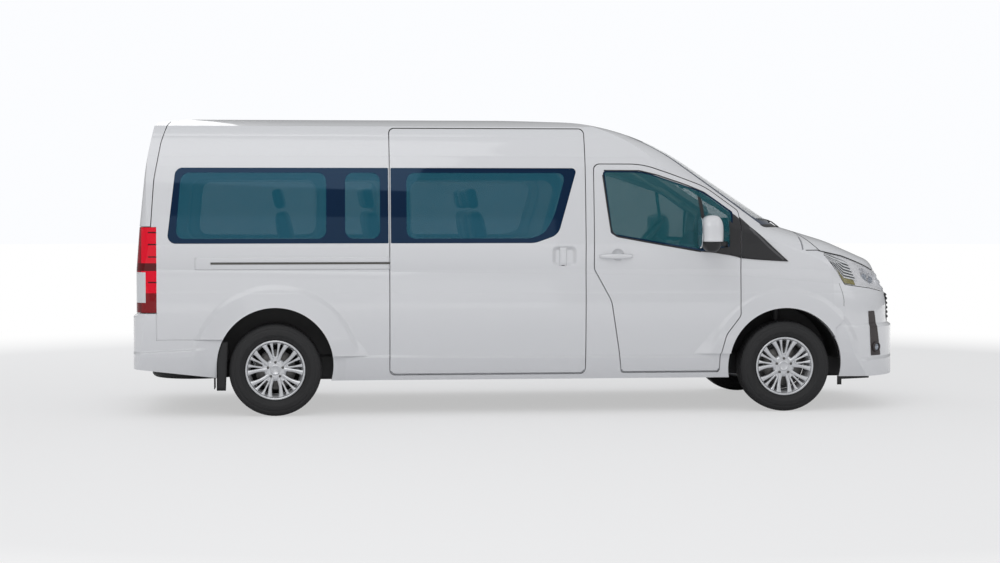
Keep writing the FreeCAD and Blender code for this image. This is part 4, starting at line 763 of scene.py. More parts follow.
lamp_out = (0.4, -1.0, 0.0)
lamp_turn, lamp_share = spread(math.radians(16.5), math.radians(74.0), 160, 0.0, 1.0, 50)
finned = np.clip((np.degrees(lamp_turn) - 56.0) / 3.0, 0.0, 1.0)
bowl_turns, bowl_share = (27.0, 40.0), 0.55
bowls = sum(np.clip(1.0 - ((np.degrees(lamp_turn) - centre) / 9.5) ** 2
                    - ((lamp_share - bowl_share) / 0.36) ** 2, 0.0, 1.0) for centre in bowl_turns)
edge = np.clip(np.minimum(lamp_share, 1.0 - lamp_share) / 0.06, 0.0, 1.0)
hollow = 0.004 + edge * (0.014 + (1.0 - finned) * 0.055 * np.sqrt(bowls))
chrome = finish("lamp_chrome", (0.90, 0.90, 0.92), 0.28, metallic=0.30, grain=12.0, shade=0.08)
on_both_sides("lamp_housing", [(lamp_point(lamp_turn, lamp_share, hollow), False)], chrome, roots,
              "lamp_lens", outward=lamp_out, thickness=0.002)
lamp_glass = finish("lamp_bulb_lens", (0.30, 0.33, 0.38), 0.06, metallic=0.3, grain=40.0, Coat_Weight=1.0)
ball_turn, ball_share = np.meshgrid(np.linspace(0.0, 0.5 * np.pi, 14),
                                    np.linspace(0.0, 2.0 * np.pi, 40, endpoint=False))
bulbs = []
ball = np.stack([np.cos(ball_turn), np.sin(ball_turn) * np.sin(ball_share),
                 np.sin(ball_turn) * np.cos(ball_share)], -1)
for centre in bowl_turns:
    core = lamp_point(np.radians([centre]), np.array([bowl_share]), np.array([0.060]))[0]
    ahead = np.array([math.cos(math.radians(centre)), -math.sin(math.radians(centre)), 0.0])
    aside = np.array([-ahead[1], ahead[0], 0.0])
    bulbs.append((core + 0.030 * ball @ np.array([ahead, aside, (0.0, 0.0, 1.0)]), True))
on_both_sides("lamp_bulbs", bulbs, lamp_glass, roots, "lamp_lens")
fin_turn, fin_share = np.meshgrid(np.radians(np.linspace(59.0, 73.0, 40)), (0.0, 0.45, 0.55), indexing="ij")
fin_depth = np.array([0.005, 0.009, 0.016]) * np.ones(fin_turn.shape)
fins = [(lamp_point(fin_turn, (number + 0.3 + fin_share) / 9.5, fin_depth), False) for number in range(2, 9)]
fin_white = finish("lamp_fins", (0.86, 0.87, 0.88), 0.20, grain=12.0, shade=0.05, Coat_Weight=0.5)
on_both_sides("lamp_fins", fins, fin_white, roots, "lamp_lens", outward=lamp_out, thickness=0.0015)
# Behind the fins lies a dark sheet: painted shadow between them, in place of the bright housing.
fin_shadow = finish("lamp_shadow", (0.10, 0.11, 0.12), 0.4, grain=12.0, shade=0.05)
dark_turn, dark_share = spread(math.radians(59.0), math.radians(73.5), 40, 0.26, 0.97, 20)
on_both_sides("lamp_fin_shadow", [(lamp_point(dark_turn, dark_share, 0.0175 + 0.0 * dark_turn), False)],
              fin_shadow, roots, "lamp_lens", outward=lamp_out, thickness=0.0015)
amber = finish("amber_marker", (0.26, 0.22, 0.04), 0.22, grain=400.0, bump=0.4, Coat_Weight=0.8)
mark_turn, mark_share = spread(math.radians(62.5), math.radians(73.0), 14, 0.05, 0.24, 8)
on_both_sides("amber_marker", [(lamp_point(mark_turn, mark_share, 0.010), False)], amber, roots, "lamp_lens",
              outward=lamp_out, thickness=0.004)
seal_turn = np.radians(np.linspace(16.0, 74.5, 90))
seals = []
for share, lift in ((0.985, 0.006), (0.015, -0.006)):
    inner = lamp_point(seal_turn, np.full(90, share), np.full(90, -0.0006))
    seals.append((np.stack([inner, inner + [0.0, 0.0, lift]], 1), False))
on_both_sides("lamp_seal", seals, gloss_black, roots, "black_trim", outward=lamp_out, thickness=0.002)


# Tail lamps. One moulding in two reds with a clear reversing lamp let in at its rear edge; dark bars cross
# the front half, and fine optic ribs run down behind the surface.
def banded_lamp(name):
    """Red plastic whose bands are read from height and from x, in the order of the real lamp, with its rear
    end painted darker as shade where it turns round the corner.
    """
    material = bpy.data.materials.new(name)
    material.use_nodes = True
    tree = material.node_tree
    shader = tree.nodes["Principled BSDF"]
    place = add_node(tree, "ShaderNodeTexCoord").outputs["Object"]
    where = add_node(tree, "ShaderNodeSeparateXYZ", {0: place})
    x, z = where.outputs[0], where.outputs[2]

    def between(value, low, high):
        above = calc(tree, "GREATER_THAN", value, low)
        return calc(tree, "MULTIPLY", above, calc(tree, "LESS_THAN", value, high))

    colour = add_node(tree, "ShaderNodeMix", {0: between(z, 0.0, 0.924), 6: (0.92, 0.001, 0.024, 1.0),
                                               7: (0.26, 0.003, 0.008, 1.0)}, data_type="RGBA").outputs[2]
    # The rear end beyond x = -2.892, where the lamp turns round the corner, is painted darker as shade, three
    # quarters of the way to the dark red; the band from 1.088 to 1.145 is darkened fully.
    rear = calc(tree, "LESS_THAN", x, -2.892)
    band_and_rear_shade = calc(tree, "MAXIMUM", calc(tree, "MULTIPLY", rear, 0.75), between(z, 1.088, 1.145))
    colour = add_node(tree, "ShaderNodeMix", {0: band_and_rear_shade, 6: colour, 7: (0.12, 0.002, 0.005, 1.0)},
                      data_type="RGBA").outputs[2]
    bars = None
    for height in (1.371, 1.283, 1.191, 1.003):
        bar = between(z, height - 0.005, height + 0.005)
        bars = bar if bars is None else calc(tree, "MAXIMUM", bars, bar)
    bars = calc(tree, "MULTIPLY", bars, calc(tree, "GREATER_THAN", x, -2.842))
    colour = add_node(tree, "ShaderNodeMix", {0: bars, 6: colour, 7: (0.07, 0.004, 0.006, 1.0)},
                      data_type="RGBA").outputs[2]
    clear = calc(tree, "MULTIPLY", between(z, 0.853, 1.078), calc(tree, "LESS_THAN", x, -2.860))
    colour = add_node(tree, "ShaderNodeMix", {0: clear, 6: colour, 7: (0.74, 0.76, 0.78, 1.0)},
                      data_type="RGBA").outputs[2]
    tree.links.new(colour, shader.inputs["Base Color"])
    shader.inputs["Specular IOR Level"].default_value = 0.15
    ribs = add_node(tree, "ShaderNodeTexWave", {"Vector": place, "Scale": 60.0, "Distortion": 0.0},
                    bands_direction="Z").outputs[1]
    relief = add_node(tree, "ShaderNodeBump", {"Height": ribs, "Strength": 0.25, "Distance": 0.001})
    tree.links.new(relief.outputs[0], shader.inputs["Normal"])
    shader.inputs["Roughness"].default_value = 0.25
    shader.inputs["Coat Weight"].default_value = 0.35
    shader.inputs["Coat Roughness"].default_value = 0.03
    return material


wear(banded_lamp("tail_lamp_plastic"), "tail_lamps")


# Door mirrors. A white painted cap over a black moulded bowl on a folding arm from the corner trim, with
# the glass set back a little on the rear side.
mirror_low, mirror_parting, mirror_high = 1.216, 1.301, 1.500
mirror_x, mirror_y, mirror_reach = 1.3375, -1.130, 0.108


def mirror_slices(low, high, swell, count):
    """Plan outlines stacked between two heights. Each is a superellipse, flat towards the rear, whose size
    follows a rounded profile up the housing; the front outer corner is drawn back by the square of y."""
    z = np.linspace(low, high, count)
    middle = (mirror_low + mirror_high) / 2.0
    reach = (mirror_high - mirror_low) / 2.0
    share = np.clip(np.abs(z - middle) / reach, 0.0, 1.0)
    size = np.clip(1.0 - share ** 3.4, 0.0, 1.0) ** (1.0 / 2.6)
    size = size * np.interp(z, (mirror_low, 1.30, 1.42, mirror_high), (0.78, 1.0, 1.0, 0.93))
    angle = np.linspace(0.0, 2.0 * np.pi, 80, endpoint=False)
    round_x = power(np.cos(angle), 0.72)
    round_y = power(np.sin(angle), 0.72)
    half_x = 0.0865 * size[:, None] + swell
    half_y = 0.1055 * size[:, None] + swell
    x = mirror_x + half_x * round_x[None, :]
    y = mirror_y + half_y * round_y[None, :]
    outer = np.clip((mirror_y - y) / mirror_reach, 0.0, 1.0)
    x = x - 0.028 * outer ** 2 * np.clip(round_x[None, :], 0.0, 1.0) * size[:, None]
    return np.stack([x, y, np.repeat(z[:, None], 80, 1)], -1)


def closed_rings(rings):
    """Stacked rings made into a wrapped grid with both ends drawn to their middles."""
    first = np.repeat(rings[:1].mean(1, keepdims=True), rings.shape[1], 1)
    last = np.repeat(rings[-1:].mean(1, keepdims=True), rings.shape[1], 1)
    return np.swapaxes(np.concatenate([first, rings, last]), 0, 1)


mirror_cap = closed_rings(mirror_slices(mirror_parting, mirror_high, 0.0, 26))
mirror_bowl = closed_rings(mirror_slices(mirror_low, mirror_parting - 0.003, -0.002, 16))
arm_centre = np.array([(1.352, -1.050, 1.283), (1.392, -1.010, 1.284), (1.440, -0.976, 1.281),
                       (1.505, -0.952, 1.274)])
arm_angle = np.linspace(0.0, 2.0 * np.pi, 24, endpoint=False)
arm_size = np.array([(0.030, 0.017), (0.030, 0.017), (0.034, 0.018), (0.046, 0.022)])
arm_wide = arm_size[:, :1] * np.cos(arm_angle)
arm_rings = arm_centre[:, None, :] + np.stack([arm_wide, 0.35 * arm_wide,
                                               arm_size[:, 1:] * np.sin(arm_angle)], -1)
on_both_sides("mirror_cap", [(mirror_cap, True)], plain_white, doors, "body_paint", replaced=("mirror",))
on_both_sides("mirror_bowl", [(mirror_bowl, True), (closed_rings(arm_rings), True)], trim_black, doors,
              "black_trim")
silvered = finish("mirror_silver", (0.80, 0.82, 0.84), 0.03, metallic=1.0, grain=5.0, shade=0.02)
ring = np.linspace(0.0, 2.0 * np.pi, 60, endpoint=False)
scale = np.linspace(0.0, 1.0, 8)
oval_y = mirror_y + 0.090 * np.outer(scale, power(np.sin(ring), 0.6))
oval_z = 1.366 + 0.115 * np.outer(scale, power(np.cos(ring), 0.6))
oval = np.stack([np.full(oval_y.shape, 1.2505), oval_y, oval_z], -1)
on_both_sides("mirror_glass", [(np.swapaxes(oval, 0, 1), True)], silvered, doors, "glass",
              outward=(-1.0, 0.0, 0.0), thickness=0.002)


# Door handles. The front ones are painted bars that bridge a round dish pressed into the skin; the sliding
# door has a recess with a painted lever in it.
def handle_bar(start, end, height, stand, thick):
    """A bar between two x at a height: its centre rises from the skin to stand and falls back, as a sine to
    a small power, and its section is an ellipse a little taller than deep."""
    along = np.linspace(0.0, 1.0, 34)
    x = start + (end - start) * along
    out = stand * np.clip(np.sin(np.pi * along), 0.0, 1.0) ** 0.35
    turn = np.linspace(0.0, 2.0 * np.pi, 20, endpoint=False)
    grow = 0.55 + 0.45 * np.sin(np.pi * along)
    centre_y = -side_y(x, np.full(34, height)) - out + 0.004
    y = centre_y[:, None] + thick * 0.62 * grow[:, None] * np.cos(turn)
    rings = np.stack([np.repeat(x[:, None], 20, 1), y, height + thick * grow[:, None] * np.sin(turn)], -1)
    return closed_rings(rings)


on_both_sides("door_handle", [(handle_bar(0.516, 0.771, 1.187, 0.036, 0.019), True)], plain_white, doors,
              "body_paint")
lever_across = np.linspace(-1.0, 1.0, 10)[None, :]
lever_up = np.linspace(0.0, 1.0, 18)[:, None]
lever_x = 0.241 + 0.029 * lever_across + 0.0 * lever_up
lever_z = 1.118 + 0.138 * lever_up + 0.0 * lever_across
lever_out = 0.015 * (1.0 - lever_across ** 4) * np.clip(np.sin(np.pi * lever_up), 0.0, 1.0) ** 0.25
lever = np.stack([lever_x, -side_y(lever_x, lever_z) - lever_out, lever_z], -1)
add_piece("slide_handle", [(lever, False)], plain_white, "root", "body_paint", outward=trim_out,
          thickness=0.004)
pull = handle_bar(0.222, 0.260, 1.121, 0.004, 0.005)
add_piece("slide_handle_pull", [(pull, True)], trim_black, "root", "black_trim")


# Bumper inlets and front fog lamps. A dark moulded insert stands in a tall slot at each corner of the
# bumper, framed by a raised lip, with a round lamp at its foot.
def on_skin(x, z, rise):
    """Points on the body's right side at (x, z), lifted by rise."""
    return np.stack([x, -side_y(x, z) - rise, z], -1)


slot_top, slot_foot = 0.759, 0.419
up, across = spread(0.0, 1.0, 30, 0.0, 1.0, 14)
slot_z = slot_foot + (slot_top - slot_foot) * up
slot_rear = np.interp(slot_z, (0.419, 0.759), (2.634, 2.614))
slot_front = np.interp(slot_z, (0.419, 0.747, 0.759), (2.727, 2.674, 2.668))
slot_x = slot_rear + (slot_front - slot_rear) * across
from_edge = np.minimum(np.minimum(across, 1 - across) * 6, np.minimum(up, 1 - up) * 22)
slot_rise = 0.0012 + 0.0028 * np.clip(1.0 - from_edge, 0, 1)
inlet_grey = finish("inlet_moulding", (0.050, 0.040, 0.040), 0.35, grain=500.0, bump=0.3)
on_both_sides("bumper_inlet", [(on_skin(slot_x, slot_z, slot_rise), False)], inlet_grey, roots, "black_trim",
              outward=(0.5, -1.0, 0.0), thickness=0.002)
fog_place = on_skin(np.array([2.6795]), np.array([0.482]), np.array([0.0]))[0]
fog_ahead = Vector((0.60, -0.80, 0.0)).normalized()
fog_side = Vector((-fog_ahead.y, fog_ahead.x, 0.0))
fog_angle = np.linspace(0.0, 2.0 * np.pi, 48, endpoint=False)


def facing_rings(profile, middle, ahead, aside, angle):
    """A profile of (radius, forward) turned about an axis that points ahead from the middle."""
    rise = np.cross(ahead, aside)
    wave = angle[:, None, None]
    radial = np.cos(wave) * np.array(aside) + np.sin(wave) * rise
    return (middle + profile[None, :, :1] * radial + profile[None, :, 1:] * np.array(ahead))


bezel = np.array([(0.027, 0.008), (0.029, 0.015), (0.036, 0.016), (0.041, 0.008), (0.042, -0.006)])
lens = np.array([(0.0, 0.013), (0.014, 0.012), (0.023, 0.010), (0.0275, 0.007)])
for name, profile, material, slot, outward in (
        ("fog_bezel", bezel, inlet_grey, "black_trim", None),
        ("fog_lens", lens, lamp_glass, "lamp_lens", (0.78, -0.62, 0.0)),
):
    rings = facing_rings(profile, fog_place, fog_ahead, fog_side, fog_angle)
    on_both_sides(name, [(rings, True)], material, roots, slot, outward=outward, thickness=0.002)


# Grille. Three bright bars cross the nose between the lamps over a black moulded mesh, and a lower mesh
# with six black bars runs down into the bumper. A bare round boss of plain plastic sits in the middle.
forward = (1.0, 0.0, 0.0)


def nose_grid(y, z, rise):
    """Points on the front skin at (y, z), pushed forward by rise."""
    return np.stack([front_x(y, z) + rise, y, z], -1)


grille_mesh = finish("grille_mesh", (0.012, 0.012, 0.013), 0.5, grain=160.0, bump=1.0, depth=0.004)
back_y, back_z = spread(-0.552, 0.552, 60, 0.888, 1.056, 16)
upper_back = add_piece("grille_back", [(nose_grid(back_y, back_z, -0.016), False)], grille_mesh, "root",
                       "black_trim", outward=forward, thickness=0.003)
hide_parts("grille")
low_t, low_z = spread(-1.0, 1.0, 60, 0.665, 0.880, 18)
low_half = np.interp(low_z, (0.665, 0.700, 0.880), (0.600, 0.640, 0.600))
add_piece("lower_grille", [(nose_grid(low_t * low_half, low_z, 0.0015), False)], grille_mesh, "root",
          "black_trim", outward=forward, thickness=0.0012)


def nose_bar(height, half, tall, deep, back=0.0):
    """A bar across the nose: its section, a flat-fronted hump, is carried along the bow of the front."""
    y = np.linspace(-half, half, 70)
    section = np.array([(-1.0, 0.0), (-0.9, 0.7), (-0.5, 1.0), (0.5, 1.0), (0.9, 0.7), (1.0, 0.0)])
    z = height + tall * 0.5 * section[None, :, 0] * np.ones((70, 1))
    rise = back + deep * section[None, :, 1] * np.clip((half - np.abs(y[:, None])) / 0.02, 0.15, 1.0)
    return nose_grid(np.repeat(y[:, None], 6, 1), z, rise)


bright_bar = finish("bright_bar", (0.74, 0.75, 0.77), 0.14, metallic=0.95, grain=20.0, shade=0.06)
add_piece("grille_bars", [(nose_bar(z, 0.550, 0.034, 0.018, -0.012), False) for z in (0.920, 0.972, 1.024)],
          bright_bar, "root", "alloy", outward=forward, thickness=0.003)
low_heights, low_halves = (0.700, 0.735, 0.770, 0.805, 0.840, 0.872), (0.628, 0.622, 0.618, 0.612, 0.606,
                                                                       0.600)
low_bars = [(nose_bar(z, half, 0.016, 0.011), False) for z, half in zip(low_heights, low_halves)]
add_piece("lower_grille_bars", low_bars, trim_black, "root", "black_trim", outward=forward, thickness=0.003)
boss_profile = np.array([(0.0, 0.016), (0.045, 0.015), (0.056, 0.011), (0.060, 0.002), (0.060, -0.010)])
boss_place = np.array([np.interp(-0.972, -front_rows[:, 1], front_rows[:, 0]), 0.0, 0.972])
boss_ring = np.linspace(0.0, 2.0 * np.pi, 60, endpoint=False)
nose_ahead = (0.888, 0.0, 0.460)
boss = facing_rings(boss_profile, boss_place, nose_ahead, (0.0, 1.0, 0.0), boss_ring)
add_piece("grille_boss", [(boss, True)], gloss_black, "root", "black_trim", outward=forward, thickness=0.002)

# Lower intake. A second black mesh low in the bumper between the inlets, clipped in with its two
# moulded bars.
intake_t, intake_z = spread(-1.0, 1.0, 50, 0.345, 0.450, 10)
intake_half = np.interp(intake_z, (0.345, 0.450), (0.440, 0.500))
add_piece("lower_intake", [(nose_grid(intake_t * intake_half, intake_z, 0.0015), False)], grille_mesh, "root",
          "black_trim", outward=forward, thickness=0.0012)
add_piece("intake_bars", [(nose_bar(z, 0.46, 0.012, 0.004), False) for z in (0.380, 0.415)], trim_black,
          "root", "black_trim", outward=forward, thickness=0.002)


# Number plates. Bare pressed aluminium, painted white, in thin black holders screwed to the bumper in front
# and to the tailgate behind.
plate_half, plate_tall = 0.186, 0.135


def plate(middle, grow):
    """An upright rounded rectangle about a middle point, grown by grow all round."""
    angle = np.linspace(0.0, 2.0 * np.pi, 48, endpoint=False)
    share = np.linspace(0.0, 1.0, 6)
    wide = (plate_half + grow) * power(np.cos(angle), 0.22)
    tall = (plate_tall / 2 + grow) * power(np.sin(angle), 0.22)
    flat = np.stack([np.zeros((6, 48)), np.outer(share, wide), np.outer(share, tall)], -1)
    return np.swapaxes(flat, 0, 1) + middle


plate_white = finish("plate_white", (0.74, 0.74, 0.72), 0.3, grain=900.0, bump=0.05, Coat_Weight=0.4)
front_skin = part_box("front_bumper")[1].x
rear_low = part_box("tailgate")[0].x
for name, middle, way, body in (("front", (front_skin + 0.003, 0.0, 0.560), 1.0, "root"),
                                ("rear", (rear_low - 0.012, 0.0, 1.030), -1.0, "tailgate")):
    behind = np.array(middle) - [0.0015 * way, 0.0, 0.0]
    add_piece(f"plate_holder_{name}", [(plate(behind, 0.008), True)], trim_black, body,
              "black_trim", outward=(way, 0.0, 0.0), thickness=0.008)
    add_piece(f"plate_{name}", [(plate(middle, 0.0), True)], plate_white, body, "body_paint",
              outward=(way, 0.0, 0.0), thickness=0.0015)

# Rear handle. A white moulded bar over the plate that the hand takes from below, bonded to the tailgate's
# skin and drawn in to it at both ends.
garnish_y = np.linspace(-0.42, 0.42, 50)
garnish_section = np.array([(0.004, -0.030), (-0.006, -0.032), (-0.020, -0.024), (-0.0235, 0.004),
                            (-0.015, 0.026), (0.004, 0.030)])
garnish_size = np.clip((0.42 - np.abs(garnish_y)) / 0.05, 0.0, 1.0) ** 0.5
garnish = np.stack([rear_low + garnish_section[None, :, 0] * garnish_size[:, None],
                    np.repeat(garnish_y[:, None], 6, 1),
                    1.160 + garnish_section[None, :, 1] * (0.4 + 0.6 * garnish_size[:, None])], -1)
add_piece("tailgate_garnish", [(garnish, False)], plain_white, "tailgate", "body_paint",
          outward=(-1.0, 0.0, 0.0))


# Wipers. Black painted steel arms on pivots at the foot of the glass, two in front and one behind, each
# with a rubber blade in a slim carrier.
def tube(path, radius, steps=10):
    """A round or oval bar along a path of points: rings square to the path, their ends closed."""
    path = np.array(path)
    run = np.gradient(path, axis=0)
    run /= np.linalg.norm(run, axis=1)[:, None]
    aside = np.cross(run, (0.0, 0.0, 1.0))
    aside /= np.linalg.norm(aside, axis=1)[:, None]
    rise = np.cross(aside, run)
    angle = np.linspace(0.0, 2.0 * np.pi, steps, endpoint=False)
    radius = np.broadcast_to(np.array(radius, float), (len(path), 2))
    rings = (path[:, None, :] + radius[:, :1, None] * np.cos(angle)[None, :, None] * aside[:, None, :]
             + radius[:, 1:, None] * np.sin(angle)[None, :, None] * rise[:, None, :])
    return closed_rings(rings)


def on_glass(y, up_glass, lift):
    """A point on the windscreen's outer surface at a distance up the slope from its foot."""
    z = 1.418 + up_glass
    return np.array([float(front_x(np.array(y), np.array(z))) + lift * 0.55, y, z + lift * 0.83])


wiper_parts = []
for pivot_y, tip_y in ((-0.60, 0.02), (0.04, 0.66)):
    foot = on_glass(pivot_y, -0.018, 0.004)
    mid = on_glass((pivot_y * 2 + tip_y) / 3, 0.012, 0.012)
    end = on_glass((pivot_y + tip_y * 2) / 3, 0.024, 0.011)
    path = np.array([foot + (mid - foot) * t for t in np.linspace(0, 1, 6)] + [mid + (end - mid) * t for t in
                                                                                   np.linspace(0.1, 1, 8)])
    wiper_parts.append((tube(path, (0.007, 0.004)), True))
    ys = np.linspace(pivot_y + 0.06, tip_y + 0.02, 16)
    blade = np.array([on_glass(y, 0.018 + 0.018 * (y - pivot_y) / (tip_y - pivot_y), 0.006) for y in ys])
    wiper_parts.append((tube(blade, (0.005, 0.006)), True))
add_piece("wipers", wiper_parts, trim_black, "root", "black_trim")
gate_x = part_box("tailgate_glass")[0].x
rear_path = [(np.interp(z, (1.48, 1.94), (gate_x - 0.018, gate_x + 0.045)), y, z)
             for y, z in zip(np.linspace(0.02, -0.36, 12), np.linspace(1.470, 1.560, 12))]
rear_blade = [(np.interp(z, (1.48, 1.94), (gate_x - 0.012, gate_x + 0.050)), y, z)
              for y, z in zip(np.linspace(-0.10, -0.56, 14), np.linspace(1.520, 1.600, 14))]
add_piece("rear_wiper", [(tube(rear_path, (0.007, 0.007)), True), (tube(rear_blade, (0.005, 0.005)), True)],
          trim_black, "tailgate", "black_trim")


# Mudflap wings. The outer edge of each rear rubber flap turns forward, is screwed to the arch's edge and
# closes its foot.
wing_heights = np.linspace(0.560, 0.197, 12)
arch_radius, arch_height = 0.432, 0.380
arch_edge = axle_places["rear"] - np.sqrt(arch_radius ** 2 - np.maximum(wing_heights - arch_height, 0.0) ** 2)
wing_front = np.interp(wing_heights, [0.197, 0.560], [-2.277, -2.262])
along = np.linspace(0.0, 1.0, 4)[None, :]
wing_x = arch_edge[:, None] * (1.0 - along) + wing_front[:, None] * along
wing = np.stack([wing_x, np.full_like(wing_x, -0.940), wing_heights[:, None] + 0.0 * wing_x], -1)
flap_y, flap_z = np.meshgrid(np.linspace(-0.940, -0.700, 6), wing_heights[wing_heights < 0.40])
flap = np.stack([np.full_like(flap_y, -2.3435), flap_y, flap_z], -1)
on_both_sides("mudflap_wing", [(wing, False), (flap, False)], black_moulding, roots, "rubber",
              thickness=0.005)

# Arch feet. Below the moulded liners the inner walls of the arches run down to the sills, a flat tray
# closes the front underneath, and a short rubber flap hangs before each front wheel.
feet = []
for start, end, inward, foot in ((2.250, 2.520, -0.540, 0.236), (1.480, 1.680, -0.540, 0.262),
                                 (-1.620, -1.420, -0.656, 0.252)):
    foot_x, foot_z = spread(start, end, 6, foot, 0.440, 6)
    feet.append((np.stack([foot_x, np.full_like(foot_x, inward), foot_z], -1), False))
tray_x, tray_z = spread(2.392, 2.640, 12, 0.240, 0.266, 3)
feet.append((np.stack([tray_x, np.interp(tray_x, (2.392, 2.640), (-0.895, -0.800)), tray_z], -1), False))
flap_x, flap_z = spread(2.366, 2.400, 4, 0.198, 0.266, 4)
feet.append((np.stack([flap_x, np.full_like(flap_x, -0.893), flap_z], -1), False))
on_both_sides("arch_feet", feet, black_moulding, roots, "black_trim", thickness=0.004)

# Brake dust shields. A pressed steel disc, bolted to each front knuckle, closes the back of the wheel
# round the brake.
shield = np.array([(0.060, 0.010), (0.150, 0.012), (0.185, 0.004), (0.190, -0.010)])
shield_angle = np.linspace(0.0, 2.0 * np.pi, 48, endpoint=False)
shield_rings = facing_rings(shield, np.array([axle_places["front"], -0.742, axle_height]),
                            Vector((0.0, -1.0, 0.0)), Vector((1.0, 0.0, 0.0)), shield_angle)
knuckles = {"right": "right_knuckle", "left": "left_knuckle"}
on_both_sides("dust_shield", [(shield_rings, True)], seam_grey, knuckles, "steel", thickness=0.0015)


# Cabin trim. Pale grey moulded frames round the inside of every side window, and a cream sleeve over each
# windscreen pillar with a grab handle bolted to it.
def rounded_frame(corners, radius, width, count=16):
    """A ring between a rounded quadrilateral and the same one grown by width, as a grid of (x, z) and of
    the share across. Each corner is an arc between straight runs, walked at an even number of steps."""
    corners = np.array(corners)
    walk = []
    for i, corner in enumerate(corners):
        before = corners[i - 1] - corner
        after = corners[(i + 1) % len(corners)] - corner
        before /= np.linalg.norm(before)
        after /= np.linalg.norm(after)
        half = math.acos(np.clip(before @ after, -1.0, 1.0)) / 2.0
        middle = corner + (before + after) / np.linalg.norm(before + after) * radius / math.sin(half)
        start = corner + before * radius / math.tan(half) - middle
        end = corner + after * radius / math.tan(half) - middle
        a0, a1 = math.atan2(start[1], start[0]), math.atan2(end[1], end[0])
        a1 = a0 + (a1 - a0 + math.pi) % (2.0 * math.pi) - math.pi
        angle = np.linspace(a0, a1, count)
        ray = np.stack([np.cos(angle), np.sin(angle)], -1)
        walk += [(middle, one) for one in ray]
    across = np.linspace(0.0, 1.0, 7)
    return np.array([[middle + ray * (radius + width * share) for share in across]
                     for middle, ray in walk]), across


pale_trim = finish("pale_trim", (0.36, 0.365, 0.36), 0.6, grain=500.0, bump=0.2)
window_openings = (
    [(-2.520, 1.760), (-1.600, 1.760), (-1.600, 1.325), (-2.560, 1.325)],
    [(-1.420, 1.760), (-1.100, 1.760), (-1.100, 1.325), (-1.420, 1.325)],
    [(-0.900, 1.760), (0.200, 1.760), (0.080, 1.325), (-0.900, 1.325)],
)
for number, opening in enumerate(window_openings):
    ring_flat, ring_share = rounded_frame(opening, 0.075, 0.085)
    depth = 0.082 + 0.022 * (1.0 - np.clip(ring_share * 3.0, 0.0, 1.0)) ** 2 + 0.0 * ring_flat[..., 0]
    frame_grid = np.stack([ring_flat[..., 0], -side_y(ring_flat[..., 0], ring_flat[..., 1]) + depth,
                           ring_flat[..., 1]], -1)
    on_both_sides(f"window_trim_{number}", [(frame_grid, True)], pale_trim, roots, "cabin_plastic",
                  outward=(0, 1, 0), thickness=0.002)
cream_trim = finish("cream_trim", (0.62, 0.60, 0.53), 0.55, grain=500.0, bump=0.2)
pillar_line = np.array([(0.80, 0.660, 1.975), (1.00, 0.668, 1.890), (1.25, 0.675, 1.742),
                        (1.50, 0.682, 1.578), (1.70, 0.690, 1.440)])
sleeve = tube(walked(pillar_line, 40) * [1, -1, 1], (0.020, 0.046), 20)
grab_line = np.array([(1.262, 0.665, 1.722), (1.272, 0.630, 1.702), (1.300, 0.615, 1.680),
                      (1.380, 0.615, 1.622), (1.412, 0.615, 1.598), (1.440, 0.630, 1.582),
                      (1.452, 0.665, 1.578)])
grab = tube(walked(grab_line, 30) * [1, -1, 1], (0.012, 0.015), 14)
on_both_sides("pillar_trim", [(sleeve, True), (grab, True)], cream_trim, roots, "cabin_plastic")

# Inside mirror. A black moulded shell, flat at its rear, on a stalk that is bonded to the windscreen near
# its top edge.
inside_place = np.array([1.325, 0.0, 1.738])
shell_turn, shell_share = np.meshgrid(np.linspace(0, 2 * np.pi, 40, endpoint=False),
                                      np.linspace(0, np.pi, 14), indexing="ij")
shell_form = np.stack([-0.020 * np.cos(shell_share), 0.120 * np.sin(shell_share) ** 0.6 * np.cos(shell_turn),
                       0.036 * np.sin(shell_share) ** 0.6 * np.sin(shell_turn)], -1)
stalk = tube([inside_place + [0.01, 0, 0.02], inside_place + [0.02, 0, 0.06], inside_place + [0.0, 0, 0.11]],
             (0.010, 0.010))
add_piece("inside_mirror", [(shell_form + inside_place, True), (stalk, True)], trim_black, "root",
          "cabin_plastic")

# Dashboard and steering wheel. Dark grained mouldings screwed to the bulkhead; the wheel's rim is foam,
# wrapped in black leathercloth.
dash_plastic = finish("dash_plastic", (0.055, 0.055, 0.058), 0.55, grain=450.0, bump=0.4)
wear(dash_plastic, "dashboard")
wear(finish("wheel_wrap", (0.020, 0.020, 0.021), 0.5, grain=700.0, bump=0.5), "steering_wheel")


# Seats. Foam on steel pans under knitted grey cloth: a crowned cushion with two sewn channels, a back with
# side bolsters and a head restraint. One of each is blown up as cloth, and every seat has a copy.
def weave_cloth(name, colour):
    """Cloth woven from two crossing waves of fine bands, with a drift in shade."""
    material = finish(name, colour, 0.85, grain=18.0, shade=0.25, Sheen_Weight=0.35)
    tree = material.node_tree
    shader = tree.nodes["Principled BSDF"]
    place = add_node(tree, "ShaderNodeTexCoord").outputs["Object"]
    warp = add_node(tree, "ShaderNodeTexWave", {"Vector": place, "Scale": 170.0, "Distortion": 0.4},
                    bands_direction="Y").outputs[1]
    weft = add_node(tree, "ShaderNodeTexWave", {"Vector": place, "Scale": 170.0, "Distortion": 0.4},
                    bands_direction="Z").outputs[1]
    knit = calc(tree, "MAXIMUM", warp, weft)
    relief = add_node(tree, "ShaderNodeBump", {"Height": knit, "Strength": 0.6, "Distance": 0.0006})
    tree.links.new(relief.outputs[0], shader.inputs["Normal"])
    return material


